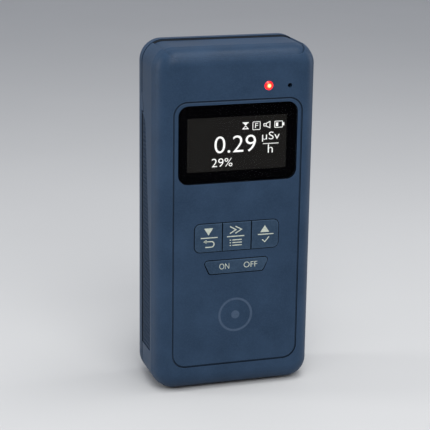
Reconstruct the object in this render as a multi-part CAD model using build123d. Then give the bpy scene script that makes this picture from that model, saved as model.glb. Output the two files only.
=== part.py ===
"""Pocket radiation counter: a two-part case around a detector tube, a display, four keys and two cells.

Millimetres. X is to the right and Z up as a person reads the display, and Y runs from the face to the back.
The origin is the middle of the footprint, so the case stands on Z = 0.
"""

import os

from build123d import *

# ---- case ----------------------------------------------------------------------------------------
WIDTH = 57.0
HEIGHT = 121.5
CORNER_RADIUS = 7.5
WALL = 2.0
FACE_WALL = 2.4
BACK_WALL = 2.0
SHOULDER_TAPER = 12.0
SHOULDER_DEPTH = 7.0
FACE_EDGE_RADIUS = 5.8
BACK_EDGE_RADIUS = 3.2
SMALLEST_EDGE_RADIUS = 0.4
SEAM_FROM_BACK = 5.8
SEAL_HEIGHT = 1.0
SEAL_INSET = 0.35
TONGUE_THICKNESS = 0.8
TONGUE_LENGTH = 1.3
TONGUE_CLEARANCE = 0.15
TONGUE_END_GAP = 0.3
ROOT = 0.5  # how far a boss, post or rib is sunk into the wall it stands on

# ---- what the depth is made of, from the face to the back ----------------------------------------
BOARD_SETBACK = 9.0
BOARD_THICKNESS = 1.6
BOARD_TO_BAY = 1.2
BAY_WALL = 1.4
CELL_CLEARANCE = 0.25
CELL_DIAMETER = 10.5
DOOR_THICKNESS = 1.8

# ---- face ----------------------------------------------------------------------------------------
PANEL_WIDTH = 45.8
PANEL_TOP_DROP = 17.9
PANEL_BOTTOM = 9.0
PANEL_CORNER = 5.0
PANEL_GROOVE = 0.5
PANEL_GROOVE_DEPTH = 0.45
BROW_WIDTH = 45.4
BROW_DROP = 3.6
BROW_DEPTH = 0.6
BROW_CORNER = 2.5
BROW_FLARE = 3.0

WINDOW_WIDTH = 42.0
WINDOW_HEIGHT = 27.0
WINDOW_TOP_DROP = 19.5
WINDOW_CORNER = 3.5
LENS_THICKNESS = 1.1
LENS_TAPE = 0.15
LENS_TAPE_WIDTH = 2.2
LENS_TAPE_INSET = 0.2
LENS_TAPE_INNER_CORNER = 1.0
LENS_CHAMFER = 0.15
LENS_GAP = 0.08
DISPLAY_VIEW_WIDTH = 36.2
DISPLAY_VIEW_HEIGHT = 19.5
DISPLAY_VIEW_CORNER = 0.5

KEY_ROW_WIDTH = 30.16
KEY_HEIGHT = 10.0
KEY_TOP_DROP = 60.7
KEY_MIDDLE_WIDTH = 10.1
KEY_SPLIT = 0.3
KEY_CORNER = 2.0
KEY_PROUD = 0.35
KEY_GAP = 0.25
KEY_TRAVEL = 0.3
KEY_FLANGE = 0.8
KEY_FLANGE_REACH = 0.9
KEY_STEM_RADIUS = 1.5
KEY_EDGE_RADIUS = 0.25

ROCKER_BELOW_KEYS = 3.37
ROCKER_HEIGHT = 4.75
ROCKER_TOP_WIDTH = 23.8
ROCKER_BOTTOM_WIDTH = 19.2
ROCKER_CORNER = 1.0
ROCKER_PROUD = 0.3
ROCKER_GAP = 0.3
ROCKER_FOOT_X = 7.0
ROCKER_FOOT_RADIUS = 0.9
ROCKER_FOOT_CLEARANCE = 0.03
ROCKER_FOOT_ROOT = 1.0
ROCKER_PIN_RADIUS = 0.5
ROCKER_PIN_CLEARANCE = 0.04
ROCKER_HUB_RADIUS = 1.2
ROCKER_HUB_GAP = 0.15
ROCKER_LUG_GAP = 0.25
ROCKER_LUG_LENGTH = 1.8
ROCKER_LUG_WIDTH = 2.8
ROCKER_LUG_COVER = 0.9

LAMP_X = 10.48
LAMP_DROP = 13.7
LAMP_RADIUS = 1.5
LAMP_HOLE_GAP = 0.05
LAMP_DOME_RADIUS = 2.5
LAMP_DOME_PROUD = 0.5
LAMP_FLANGE_REACH = 0.7
LAMP_FLANGE_THICKNESS = 1.0
LAMP_CHIP_GAP = 0.2
LAMP_CHIP_RADIUS = 1.2
SOUND_PORT_X = 18.0
SOUND_PORT_DROP = 13.95
SOUND_PORT_RADIUS = 0.8

# ---- side grips and the tabs above them ----------------------------------------------------------
GRIP_TOP_DROP = 25.2
GRIP_TIP_WIDTH = 1.6
GRIP_SHOULDER_LENGTH = 2.2
GRIP_SHOULDER_WIDTH = 4.2
GRIP_WAIST_Z = 40.0
GRIP_BOTTOM_WIDTH = 10.7
GRIP_BOTTOM = 13.0
GRIP_CORNER = 1.2
GRIP_DEPTH = 0.9
GRIP_SUNK = 0.25
GRIP_GAP = 0.1
TAB_DROP = 18.0
TAB_LENGTH = 6.3
TAB_FRONT_LENGTH = 1.2
TAB_REACH = 2.3
TAB_GAP = 0.4
TAB_CORNER = 0.35

# ---- screws --------------------------------------------------------------------------------------
CASE_SCREW_INSET_X = 5.3
CASE_SCREW_INSET_Z = 7.5
CASE_SCREW_RADIUS = 1.0
CASE_SCREW_HEAD_RADIUS = 1.9
CASE_SCREW_HEAD_HEIGHT = 1.5
CASE_SCREW_LENGTH = 10.0
BOSS_RADIUS = 2.7
SCREW_CLEARANCE = 0.12
HEAD_SINK = 2.6
BOARD_SCREW_RADIUS = 0.8
BOARD_SCREW_HEAD_RADIUS = 1.6
BOARD_SCREW_HEAD_HEIGHT = 1.0
BOARD_SCREW_LENGTH = 4.2
POST_RADIUS = 2.0
DRIVE_SLOT_WIDTH = 0.45
DRIVE_SLOT_DEPTH = 0.7
CASE_SLOT_LENGTH = 2.4
BOARD_SLOT_LENGTH = 2.0
BOARD_SLOT_DEPTH = 0.5
SCREW_END_GAP = 0.4
CASE_SCREW_END_GAP = 1.0
BOARD_BOSS_GAP = 0.6
BOARD_SCREW_RISE = 12.0
BOARD_SCREW_WINDOW_GAP = 1.0

# ---- battery bay ---------------------------------------------------------------------------------
CELL_LENGTH = 43.7
CELL_NUB_RADIUS = 1.9
CELL_NUB_HEIGHT = 0.8
CELL_GAP = 0.4
CONTACT_THICKNESS = 0.4
SPRING_LENGTH = 3.2
SPRING_BASE_RADIUS = 3.4
SPRING_TIP_RADIUS = 2.2
SPRING_WALL = 0.5
CELL_EDGE = 0.3
CONTACT_SIDE_GAP = 0.3
CONTACT_SPLIT = 1.0
CONTACT_FLOOR_GAP = 0.5
CONTACT_DOOR_GAP = 1.0
BAY_BOTTOM = 10.0
BAY_RIM_INSET = 1.0
DOOR_GAP = 0.25
DOOR_LEDGE = 1.0
DOOR_REST_GAP = 0.1
DOOR_TONGUE_WIDTH = 5.0
DOOR_TONGUE_X = 6.5
DOOR_TONGUE_THICKNESS = 1.2
DOOR_TONGUE_LENGTH = 1.9
DOOR_TONGUE_GAP = 0.25
DOOR_TONGUE_ROOT = 1.2
DOOR_TONGUE_END_GAP = 0.4
DOOR_TONGUE_OVERLAP = 0.2
DOOR_NECK_DROP = 0.3
DOOR_SWING_GAP = 0.3
DOOR_HEAD = 3.4
DOOR_HEAD_LEDGE = 1.6
DOOR_HEAD_WALL = 1.0
DOOR_CORNER = 0.8
DOOR_GROOVES = 4
DOOR_GROOVE_START = 6.0
DOOR_GROOVE_PITCH = 1.8
DOOR_GROOVE_LENGTH = 12.0
DOOR_GROOVE_HEIGHT = 0.9
DOOR_GROOVE_DEPTH = 0.45
HINGE_FROM_BACK = 0.1
HINGE_FROM_DOOR_TOP = 0.2

# ---- electronics ---------------------------------------------------------------------------------
BOARD_EDGE_GAP = 2.0
BOARD_TOP_GAP = 7.5
DISPLAY_PANEL_THICKNESS = 1.45
DISPLAY_PANEL_SIDE_GAP = 0.2
DISPLAY_CUSHION = 0.8
DISPLAY_CUSHION_INSET = 1.5
DISPLAY_FRAME_INSET = 1.0
DISPLAY_FRAME_WALL = 1.5
DISPLAY_FRAME_PLATE = 1.0
FLEX_WIDTH = 12.0
FLEX_THICKNESS = 0.2
FLEX_SETBACK = 0.4
FLEX_DROP = 1.2
SOCKET_WIDTH = 14.0
SOCKET_HEIGHT = 1.2
SOCKET_LENGTH = 3.0
SOCKET_DROP = 0.4
SWITCH_SIZE = 6.0
SWITCH_BODY_HEIGHT = 3.5
PLUNGER_RADIUS = 1.65
PLUNGER_PROUD = 0.8
PLUNGER_CLEARANCE = 0.08
SWITCH_FLOOR = 0.8
LAMP_CHIP_HEIGHT = 0.8
BUZZER_RADIUS = 3.9
BUZZER_HEIGHT = 4.2
BUZZER_HOLE_RADIUS = 1.0
BUZZER_FLOOR = 1.0
GASKET_INSET = 0.4
GASKET_HOLE_RADIUS = 1.8
TUBE_DIAMETER = 10.0
TUBE_GLASS = 0.8
TUBE_END_GAP = 4.5
TUBE_FORWARD = 0.1
TUBE_CAP_LENGTH = 7.0
TUBE_CAP_WALL = 0.4
TUBE_CAP_END = 1.0
TUBE_CATHODE_THICKNESS = 0.3
TUBE_CATHODE_INSET = 8.0
TUBE_ANODE_RADIUS = 0.25
TUBE_ANODE_INSET = 2.0
TUBE_OUTWARD = 0.475  # from the middle of the space between the battery bay and the case's side
TUBE_PIN_RADIUS = 0.75
TUBE_PIN_LENGTH = 2.0
CLIP_WIDTH = 4.0
CLIP_THICKNESS = 0.5
CLIP_FOOT_WIDTH = 3.0
CLIP_MOUTH_WIDTH = 7.2
PARTS_ABOVE_BAY = 3.0
TRANSFORMER_PLACE = (-13.0, 12.0)  # X, and height above the lowest of the parts
TRANSFORMER_WIDTH = 10.0
TRANSFORMER_HEIGHT = 11.0
TRANSFORMER_DEPTH = 7.0
TRANSFORMER_FLANGE = 1.5
TRANSFORMER_SLOT = 2.6
TRANSFORMER_SLOT_OFFSET = 4.2
CAPACITOR_PLACE = (-4.0, 18.0)
CAPACITOR_COUNT = 3
CAPACITOR_PITCH = 6.0
CAPACITOR_RADIUS = 2.5
CAPACITOR_HEIGHT = 6.5
CONTROLLER_PLACE = (3.0, 7.0)
CONTROLLER_SIZE = (9.0, 9.0, 1.4)
CRYSTAL_PLACE = (-7.0, 3.0)
CRYSTAL_SIZE = (5.0, 3.2, 1.2)
CHIP_CHAMFER = 0.2
SMALL_PART_PLACE = (-9.0, 26.0)
SMALL_PART_ROWS = 3
SMALL_PART_COLUMNS = 4
SMALL_PART_PITCH = (3.2, 3.0)
SMALL_PART_SIZE = (2.0, 1.2, 0.6)

# ---- places worked out from the sizes above ------------------------------------------------------
DEPTH = (
    BOARD_SETBACK + BOARD_THICKNESS + BOARD_TO_BAY + BAY_WALL
    + 2 * CELL_CLEARANCE + CELL_DIAMETER + DOOR_THICKNESS
)
HALF = WIDTH / 2
FACE = -DEPTH / 2
BACK = DEPTH / 2
SEAM = BACK - SEAM_FROM_BACK
FACE_INSIDE = FACE + FACE_WALL
BACK_INSIDE = BACK - BACK_WALL
BOARD_FRONT = FACE + BOARD_SETBACK
BOARD_BACK = BOARD_FRONT + BOARD_THICKNESS
BAY_FLOOR_FRONT = BOARD_BACK + BOARD_TO_BAY
BAY_FLOOR = BAY_FLOOR_FRONT + BAY_WALL
DOOR_INSIDE = BACK - DOOR_THICKNESS
CELL_Y = DOOR_INSIDE - CELL_CLEARANCE - CELL_DIAMETER / 2
WINDOW_Z = HEIGHT - WINDOW_TOP_DROP - WINDOW_HEIGHT / 2
KEY_Z = HEIGHT - KEY_TOP_DROP - KEY_HEIGHT / 2
ROCKER_Z = KEY_Z - KEY_HEIGHT / 2 - ROCKER_BELOW_KEYS - ROCKER_HEIGHT / 2
LAMP_Z = HEIGHT - LAMP_DROP
SOUND_PORT_Z = HEIGHT - SOUND_PORT_DROP
CASE_SCREW_X = HALF - CASE_SCREW_INSET_X
CASE_SCREW_ZS = (CASE_SCREW_INSET_Z, HEIGHT - CASE_SCREW_INSET_Z)
CASE_SCREW_PLACES = [(side * CASE_SCREW_X, z) for side in (-1, 1) for z in CASE_SCREW_ZS]
SWITCH_TOP = BOARD_FRONT - SWITCH_BODY_HEIGHT
PLUNGER_TOP = SWITCH_TOP - PLUNGER_PROUD
FLANGE_FRONT = FACE_INSIDE + KEY_GAP
KEY_SIDE_WIDTH = (KEY_ROW_WIDTH - KEY_MIDDLE_WIDTH) / 2 - KEY_SPLIT
KEY_SIDE_X = KEY_ROW_WIDTH / 2 - KEY_SIDE_WIDTH / 2
KEYS = {
    "down": (-KEY_SIDE_X, KEY_SIDE_WIDTH, -1),
    "menu": (0.0, KEY_MIDDLE_WIDTH, 0),
    "up": (KEY_SIDE_X, KEY_SIDE_WIDTH, 1),
}
CELL_X = (CELL_DIAMETER + CELL_GAP) / 2
BAY_HALF = CELL_X + CELL_DIAMETER / 2 + CELL_CLEARANCE
BAY_TOP = BAY_BOTTOM + CELL_LENGTH + CELL_NUB_HEIGHT + SPRING_LENGTH + 2 * CONTACT_THICKNESS
DOOR_HALF = BAY_HALF + DOOR_LEDGE
DOOR_BOTTOM = BAY_BOTTOM - DOOR_LEDGE
DOOR_TOP = BAY_TOP + BAY_WALL + DOOR_HEAD
TUBE_RADIUS = TUBE_DIAMETER / 2
TUBE_X = (BAY_HALF + BAY_WALL + HALF - WALL) / 2 + TUBE_OUTWARD
TUBE_Y = (BOARD_BACK + BACK_INSIDE) / 2 - TUBE_FORWARD
TUBE_BOTTOM = CASE_SCREW_INSET_Z + BOSS_RADIUS + TUBE_END_GAP
TUBE_TOP = HEIGHT - TUBE_BOTTOM
BOARD_BOTTOM = CASE_SCREW_INSET_Z + BOSS_RADIUS + BOARD_EDGE_GAP
BOARD_TOP = HEIGHT - WALL - BOARD_TOP_GAP
BOARD_HALF = HALF - WALL - BOARD_EDGE_GAP
BOARD_SCREW_X = BOARD_HALF - POST_RADIUS
BOARD_SCREW_ZS = (
    BOARD_BOTTOM + POST_RADIUS + BOARD_SCREW_RISE,
    WINDOW_Z - WINDOW_HEIGHT / 2 - POST_RADIUS - BOARD_SCREW_WINDOW_GAP,
)
BOARD_SCREW_PLACES = [(side * BOARD_SCREW_X, z) for side in (-1, 1) for z in BOARD_SCREW_ZS]
PARTS_LOW = BAY_TOP + BAY_WALL + PARTS_ABOVE_BAY
SHORTEST_EDGE = 0.5
TOLERANCE = 0.001


# ---- drawing helpers -----------------------------------------------------------------------------
def slab(sketch, front, back, taper=0):
    """A sketch drawn in X and Z, made solid between two depths. A taper narrows it towards the front."""
    plane = Plane(origin=(0, back, 0), x_dir=(1, 0, 0), z_dir=(0, -1, 0))
    return extrude(plane * sketch, amount=back - front, taper=taper)


def rounded(width, height, radius, x=0.0, z=0.0):
    return Pos(x, z) * RectangleRounded(width, height, radius)


def plate(x_low, x_high, y_low, y_high, z_low, z_high):
    """A plain block between two corners."""
    middle = ((x_low + x_high) / 2, (y_low + y_high) / 2, (z_low + z_high) / 2)
    return Pos(*middle) * Box(x_high - x_low, y_high - y_low, z_high - z_low)


def rod(x, z, radius, front, back):
    """A round bar along Y."""
    return slab(Pos(x, z) * Circle(radius), front, back)


def upright(x, y, radius, low, high):
    """A round bar along Z."""
    return Pos(x, y, low) * Cylinder(radius, high - low, align=(Align.CENTER, Align.CENTER, Align.MIN))


def lies_at(edge, depth):
    return all(abs(edge.position_at(along).Y - depth) < TOLERANCE for along in (0, 0.5, 1))


def edges_at_depth(solid, depth):
    """The outline of a face that stands square to Y at this depth."""
    return solid.edges().filter_by(lambda edge: edge.length > SHORTEST_EDGE and lies_at(edge, depth))


# ---- case envelope -------------------------------------------------------------------------------
def envelope(inset):
    """The case's outside, or the same form shrunk by inset on every side."""
    width = WIDTH - 2 * inset
    height = HEIGHT - 2 * inset
    outline = rounded(width, height, CORNER_RADIUS - inset, 0, HEIGHT / 2)
    front = FACE + inset
    shoulder = FACE + SHOULDER_DEPTH
    body = slab(outline, front, shoulder, SHOULDER_TAPER) + slab(outline, shoulder, BACK - inset)
    body = fillet(edges_at_depth(body, front), FACE_EDGE_RADIUS - inset / 2)
    return fillet(edges_at_depth(body, BACK - inset), max(BACK_EDGE_RADIUS - inset, SMALLEST_EDGE_RADIUS))


def cavity():
    """The hollow inside both shells."""
    outline = rounded(WIDTH - 2 * WALL, HEIGHT - 2 * WALL, CORNER_RADIUS - WALL, 0, HEIGHT / 2)
    shoulder = FACE + SHOULDER_DEPTH
    front_part = slab(outline, FACE_INSIDE, shoulder, SHOULDER_TAPER)
    return front_part + slab(outline, shoulder, BACK_INSIDE)


def ring(outer_inset, inner_inset, front, back):
    """A band that follows the case's outline, between two insets."""
    bands = [
        rounded(WIDTH - 2 * i, HEIGHT - 2 * i, CORNER_RADIUS - i, 0, HEIGHT / 2)
        for i in (outer_inset, inner_inset)
    ]
    return slab(bands[0] - bands[1], front, back)


# ---- front shell ---------------------------------------------------------------------------------
def panel_outline(inset):
    height = HEIGHT - PANEL_TOP_DROP - PANEL_BOTTOM
    return rounded(
        PANEL_WIDTH - 2 * inset, height - 2 * inset, PANEL_CORNER - inset, 0, PANEL_BOTTOM + height / 2
    )


def panel_groove():
    groove = slab(panel_outline(0) - panel_outline(PANEL_GROOVE), FACE, FACE + PANEL_GROOVE_DEPTH)
    bevel = PANEL_GROOVE_DEPTH / 2
    inner = slab(panel_outline(PANEL_GROOVE), FACE, FACE + bevel)
    worn = slab(panel_outline(PANEL_GROOVE), FACE, FACE + bevel, 45)
    return groove + (inner - worn)


def brow():
    """The shallow step across the top of the case, a little wider at its top than at its foot."""
    low, foot = HEIGHT - BROW_DROP, BROW_WIDTH / 2
    head = foot + BROW_FLARE
    outline = make_face(Polyline((-foot, low), (foot, low), (head, HEIGHT), (-head, HEIGHT), close=True))
    outline = fillet(outline.vertices().filter_by(lambda v: v.Y < HEIGHT - BROW_DROP / 2), BROW_CORNER)
    return slab(outline, FACE, SEAM) & (envelope(0) - envelope(BROW_DEPTH))


def grip_outline(gap):
    """Side view of a grip in Y and Z: a blunt point at the top, widening forward on its way down."""
    back = SEAM - SEAL_HEIGHT
    top = HEIGHT - GRIP_TOP_DROP
    outline = Polyline(
        (back, GRIP_BOTTOM),
        (back, top),
        (back - GRIP_TIP_WIDTH, top),
        (back - GRIP_SHOULDER_WIDTH, top - GRIP_SHOULDER_LENGTH),
        (back - GRIP_BOTTOM_WIDTH, GRIP_WAIST_Z),
        (back - GRIP_BOTTOM_WIDTH, GRIP_BOTTOM),
        close=True,
    )
    face = make_face(outline)
    front_corners = face.vertices().filter_by(lambda v: v.X < back - GRIP_TIP_WIDTH / 2)
    face = fillet(front_corners, GRIP_CORNER)
    return offset(face, amount=-gap, kind=Kind.INTERSECTION) if gap > 0 else face


def grip_block(side, gap, sunk, depth):
    """The grip's volume in the side wall, from sunk to depth below the side's surface."""
    plane = Plane(origin=(side * HALF, 0, 0), x_dir=(0, 1, 0), z_dir=(1, 0, 0))
    face = plane * grip_outline(gap)
    inner = extrude(face, amount=-side * depth)
    if sunk > 0:
        inner -= extrude(face, amount=-side * sunk)
    return inner


def side_grip(side):
    """Soft inlay that fills a side recess and follows the side's form a little below it."""
    block = grip_block(side, GRIP_GAP, 0, GRIP_DEPTH)
    return block & envelope(GRIP_SUNK)


def tab_block(side, gap):
    """A rear shell tab that laps forward over the seam, sloping in at its top."""
    high = HEIGHT - TAB_DROP + gap
    low = HEIGHT - TAB_DROP - TAB_LENGTH - gap
    front = SEAM - TAB_REACH - gap
    outline = Polyline(
        (SEAM, low),
        (SEAM, high),
        (SEAM - SEAL_HEIGHT / 2, high),
        (front, low + TAB_FRONT_LENGTH + 2 * gap),
        (front, low),
        close=True,
    )
    front_corners = make_face(outline).vertices().filter_by(lambda v: v.X < SEAM - SEAL_HEIGHT / 4)
    face = fillet(front_corners, TAB_CORNER)
    plane = Plane(origin=(side * (HALF + 1), 0, 0), x_dir=(0, 1, 0), z_dir=(1, 0, 0))
    return extrude(plane * face, amount=-side * (1 + WALL - TONGUE_THICKNESS))


def key_opening():
    return rounded(KEY_ROW_WIDTH + 2 * KEY_GAP, KEY_HEIGHT + 2 * KEY_GAP, KEY_CORNER + KEY_GAP, 0, KEY_Z)


def rocker_outline(gap):
    """The power key's outline: wider at the top, with rounded corners."""
    top, low = ROCKER_Z + ROCKER_HEIGHT / 2 + gap, ROCKER_Z - ROCKER_HEIGHT / 2 - gap
    wide, narrow = ROCKER_TOP_WIDTH / 2 + gap, ROCKER_BOTTOM_WIDTH / 2 + gap
    shape = make_face(Polyline((-narrow, low), (narrow, low), (wide, top), (-wide, top), close=True))
    return fillet(shape.vertices(), ROCKER_CORNER + gap)


def rocker_pin_y():
    return FACE_INSIDE + ROCKER_HUB_RADIUS + ROCKER_HUB_GAP


def pin_lugs():
    """Two ears behind the face that hold the power key's pin."""
    half_gap = ROCKER_HEIGHT / 2 + ROCKER_GAP + ROCKER_LUG_GAP
    half_width = ROCKER_LUG_WIDTH / 2
    back = rocker_pin_y() + ROCKER_PIN_RADIUS + ROCKER_LUG_COVER
    ears = []
    for way in (-1, 1):
        zs = sorted((ROCKER_Z + way * half_gap, ROCKER_Z + way * (half_gap + ROCKER_LUG_LENGTH)))
        ears.append(plate(-half_width, half_width, FACE_INSIDE, back, zs[0], zs[1]))
    return ears


def face_openings():
    """Everything cut through the face: window, display view, keys, lamp and sound port."""
    width, height = WINDOW_WIDTH + 2 * LENS_GAP, WINDOW_HEIGHT + 2 * LENS_GAP
    window = rounded(width, height, WINDOW_CORNER + LENS_GAP, 0, WINDOW_Z)
    view = rounded(DISPLAY_VIEW_WIDTH, DISPLAY_VIEW_HEIGHT, DISPLAY_VIEW_CORNER, 0, WINDOW_Z)
    return [
        slab(window, FACE, FACE + LENS_THICKNESS + LENS_TAPE),
        slab(view, FACE, FACE_INSIDE),
        slab(key_opening(), FACE, FACE_INSIDE),
        slab(rocker_outline(ROCKER_GAP), FACE, FACE_INSIDE),
        rod(LAMP_X, LAMP_Z, LAMP_RADIUS + LAMP_HOLE_GAP, FACE, FACE_INSIDE),
        rod(SOUND_PORT_X, SOUND_PORT_Z, SOUND_PORT_RADIUS, FACE, FACE_INSIDE),
    ]


def front_shell():
    shell = envelope(0) - cavity()
    shell -= plate(-WIDTH, WIDTH, SEAM - SEAL_HEIGHT, BACK + 1, -1, HEIGHT + 1)
    shell -= brow()
    groove_front = SEAM - SEAL_HEIGHT - TONGUE_LENGTH - TONGUE_END_GAP
    shell -= ring(WALL - TONGUE_THICKNESS - TONGUE_CLEARANCE, WALL + ROOT, groove_front, SEAM)
    shell -= panel_groove()
    for opening in face_openings():
        shell -= opening
    for x, z in CASE_SCREW_PLACES:
        shell += rod(x, z, BOSS_RADIUS, FACE_INSIDE - ROOT, SEAM)
        shell -= rod(x, z, CASE_SCREW_RADIUS, SEAM - CASE_SCREW_LENGTH, SEAM)
    for x, z in BOARD_SCREW_PLACES:
        shell += rod(x, z, POST_RADIUS, FACE_INSIDE - ROOT, BOARD_FRONT)
        shell -= rod(x, z, BOARD_SCREW_RADIUS, BOARD_FRONT - BOARD_SCREW_LENGTH, BOARD_FRONT)
    for ear in pin_lugs():
        shell += ear
    shell -= rocker_pin()
    for side in (-1, 1):
        shell -= grip_block(side, 0, 0, GRIP_DEPTH)
        shell -= tab_block(side, TAB_GAP)
    return shell


def case_seal():
    """Rubber cord squeezed between the two shells, set a little back from their outside."""
    seal = ring(SEAL_INSET, WALL - TONGUE_THICKNESS - TONGUE_CLEARANCE, SEAM - SEAL_HEIGHT, SEAM)
    for side in (-1, 1):
        seal -= tab_block(side, TAB_GAP)
    return seal


# ---- rear shell and door -------------------------------------------------------------------------
def hinge_line():
    """Y and Z of the line that the battery door tips about."""
    return BACK - HINGE_FROM_BACK, DOOR_TOP - HINGE_FROM_DOOR_TOP


def tongue_span():
    """Depths between which a door tongue lies, just inside the rear wall."""
    back = BACK_INSIDE - DOOR_TONGUE_GAP
    return back - DOOR_TONGUE_THICKNESS, back


def tongue_pocket(x):
    """Room for a tongue at rest and on its way out as the door tips."""
    y, z = hinge_line()
    front = tongue_span()[0]
    tip = DOOR_TOP + DOOR_TONGUE_LENGTH
    reach = ((y - front) ** 2 + (tip - z) ** 2) ** 0.5 + DOOR_SWING_GAP
    half = DOOR_TONGUE_WIDTH / 2 + DOOR_SWING_GAP
    low, high = BAY_TOP + BAY_WALL, tip + DOOR_TONGUE_END_GAP
    pocket = plate(x - half, x + half, y - reach, BACK_INSIDE, low, high)
    return pocket + plate(x - half, x + half, y - reach, DOOR_INSIDE, low, DOOR_TOP)


def rear_shell():
    shell = envelope(0) - cavity()
    shell -= plate(-WIDTH, WIDTH, FACE - 1, SEAM, -1, HEIGHT + 1)
    shell += ring(WALL - TONGUE_THICKNESS, WALL, SEAM - SEAL_HEIGHT - TONGUE_LENGTH, BACK_INSIDE)
    for side in (-1, 1):
        shell += tab_block(side, 0) & envelope(0)
    shell += plate(
        -BAY_HALF - BAY_WALL, BAY_HALF + BAY_WALL, BAY_FLOOR_FRONT, BACK - BAY_RIM_INSET,
        BAY_BOTTOM - BAY_WALL, BAY_TOP + BAY_WALL
    )
    shell += plate(
        -DOOR_HALF - BAY_WALL, DOOR_HALF + BAY_WALL, DOOR_INSIDE - DOOR_HEAD_LEDGE, BACK_INSIDE + ROOT,
        BAY_TOP, DOOR_TOP + DOOR_TONGUE_LENGTH + DOOR_HEAD_WALL
    )
    shell -= plate(-BAY_HALF, BAY_HALF, BAY_FLOOR, BACK + 1, BAY_BOTTOM, BAY_TOP)
    shell -= plate(
        -DOOR_HALF - DOOR_GAP, DOOR_HALF + DOOR_GAP, DOOR_INSIDE - DOOR_REST_GAP, BACK + 1,
        DOOR_BOTTOM - DOOR_GAP, DOOR_TOP + DOOR_GAP
    )
    for way in (-1, 1):
        shell -= tongue_pocket(way * DOOR_TONGUE_X)
    for x, z in CASE_SCREW_PLACES:
        shell += rod(x, z, BOSS_RADIUS, SEAM, BACK_INSIDE + ROOT)
        shell -= rod(x, z, CASE_SCREW_RADIUS + SCREW_CLEARANCE, SEAM, BACK)
        shell -= rod(x, z, CASE_SCREW_HEAD_RADIUS + SCREW_CLEARANCE, BACK - HEAD_SINK, BACK)
    return shell


def battery_door():
    door = plate(-DOOR_HALF, DOOR_HALF, DOOR_INSIDE, BACK, DOOR_BOTTOM, DOOR_TOP)
    door = fillet(door.edges().filter_by(Axis.Y), DOOR_CORNER)
    half_groove = DOOR_GROOVE_LENGTH / 2
    for groove in range(DOOR_GROOVES):
        z = DOOR_BOTTOM + DOOR_GROOVE_START + DOOR_GROOVE_PITCH * groove
        door -= plate(-half_groove, half_groove, BACK - DOOR_GROOVE_DEPTH, BACK, z, z + DOOR_GROOVE_HEIGHT)
    front, back = tongue_span()
    root = DOOR_TOP - DOOR_TONGUE_ROOT
    for way in (-1, 1):
        low_x = way * DOOR_TONGUE_X - DOOR_TONGUE_WIDTH / 2
        high_x = low_x + DOOR_TONGUE_WIDTH
        neck_front = back - DOOR_TONGUE_OVERLAP
        neck_back = DOOR_INSIDE + DOOR_TONGUE_OVERLAP
        door += plate(low_x, high_x, front, back, root, DOOR_TOP + DOOR_TONGUE_LENGTH)
        door += plate(low_x, high_x, neck_front, neck_back, root, DOOR_TOP - DOOR_NECK_DROP)
    return door


# ---- window and display --------------------------------------------------------------------------
def window_block(inset, front, back):
    """A square-cornered block as large as the window less an inset on every side."""
    outline = Rectangle(WINDOW_WIDTH - 2 * inset, WINDOW_HEIGHT - 2 * inset)
    return slab(Pos(0, WINDOW_Z) * outline, front, back)


def window_lens():
    lens = slab(rounded(WINDOW_WIDTH, WINDOW_HEIGHT, WINDOW_CORNER, 0, WINDOW_Z), FACE, FACE + LENS_THICKNESS)
    return chamfer(edges_at_depth(lens, FACE), LENS_CHAMFER)


def lens_tape():
    width, height = WINDOW_WIDTH - 2 * LENS_TAPE_INSET, WINDOW_HEIGHT - 2 * LENS_TAPE_INSET
    outer = rounded(width, height, WINDOW_CORNER - LENS_TAPE_INSET, 0, WINDOW_Z)
    inner = rounded(
        width - 2 * LENS_TAPE_WIDTH, height - 2 * LENS_TAPE_WIDTH, LENS_TAPE_INNER_CORNER, 0, WINDOW_Z
    )
    return slab(outer - inner, FACE + LENS_THICKNESS, FACE + LENS_THICKNESS + LENS_TAPE)


def display_panel():
    outline = Pos(0, WINDOW_Z) * Rectangle(WINDOW_WIDTH - 2 * DISPLAY_PANEL_SIDE_GAP, WINDOW_HEIGHT)
    return slab(outline, FACE_INSIDE, FACE_INSIDE + DISPLAY_PANEL_THICKNESS)


def display_cushion():
    front = FACE_INSIDE + DISPLAY_PANEL_THICKNESS
    return window_block(DISPLAY_CUSHION_INSET, front, front + DISPLAY_CUSHION)


def display_frame():
    """Moulded stand that carries the display above the board."""
    front = FACE_INSIDE + DISPLAY_PANEL_THICKNESS + DISPLAY_CUSHION
    inner_inset = DISPLAY_FRAME_INSET + DISPLAY_FRAME_WALL
    outer = window_block(DISPLAY_FRAME_INSET, front, BOARD_FRONT)
    return outer - window_block(inner_inset, front + DISPLAY_FRAME_PLATE, BOARD_FRONT)


def display_flex():
    """Flat ribbon from the display's lower edge down to its socket on the board."""
    half = FLEX_WIDTH / 2
    top = WINDOW_Z - WINDOW_HEIGHT / 2
    low = top - FLEX_DROP
    front = FACE_INSIDE + FLEX_SETBACK
    drop = plate(-half, half, front, front + FLEX_THICKNESS, low, top)
    return drop + plate(-half, half, front, BOARD_FRONT - SOCKET_HEIGHT, low - FLEX_THICKNESS, low)


def display_socket():
    top = WINDOW_Z - WINDOW_HEIGHT / 2 - SOCKET_DROP
    half = SOCKET_WIDTH / 2
    return plate(-half, half, BOARD_FRONT - SOCKET_HEIGHT, BOARD_FRONT, top - SOCKET_LENGTH, top)


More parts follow.
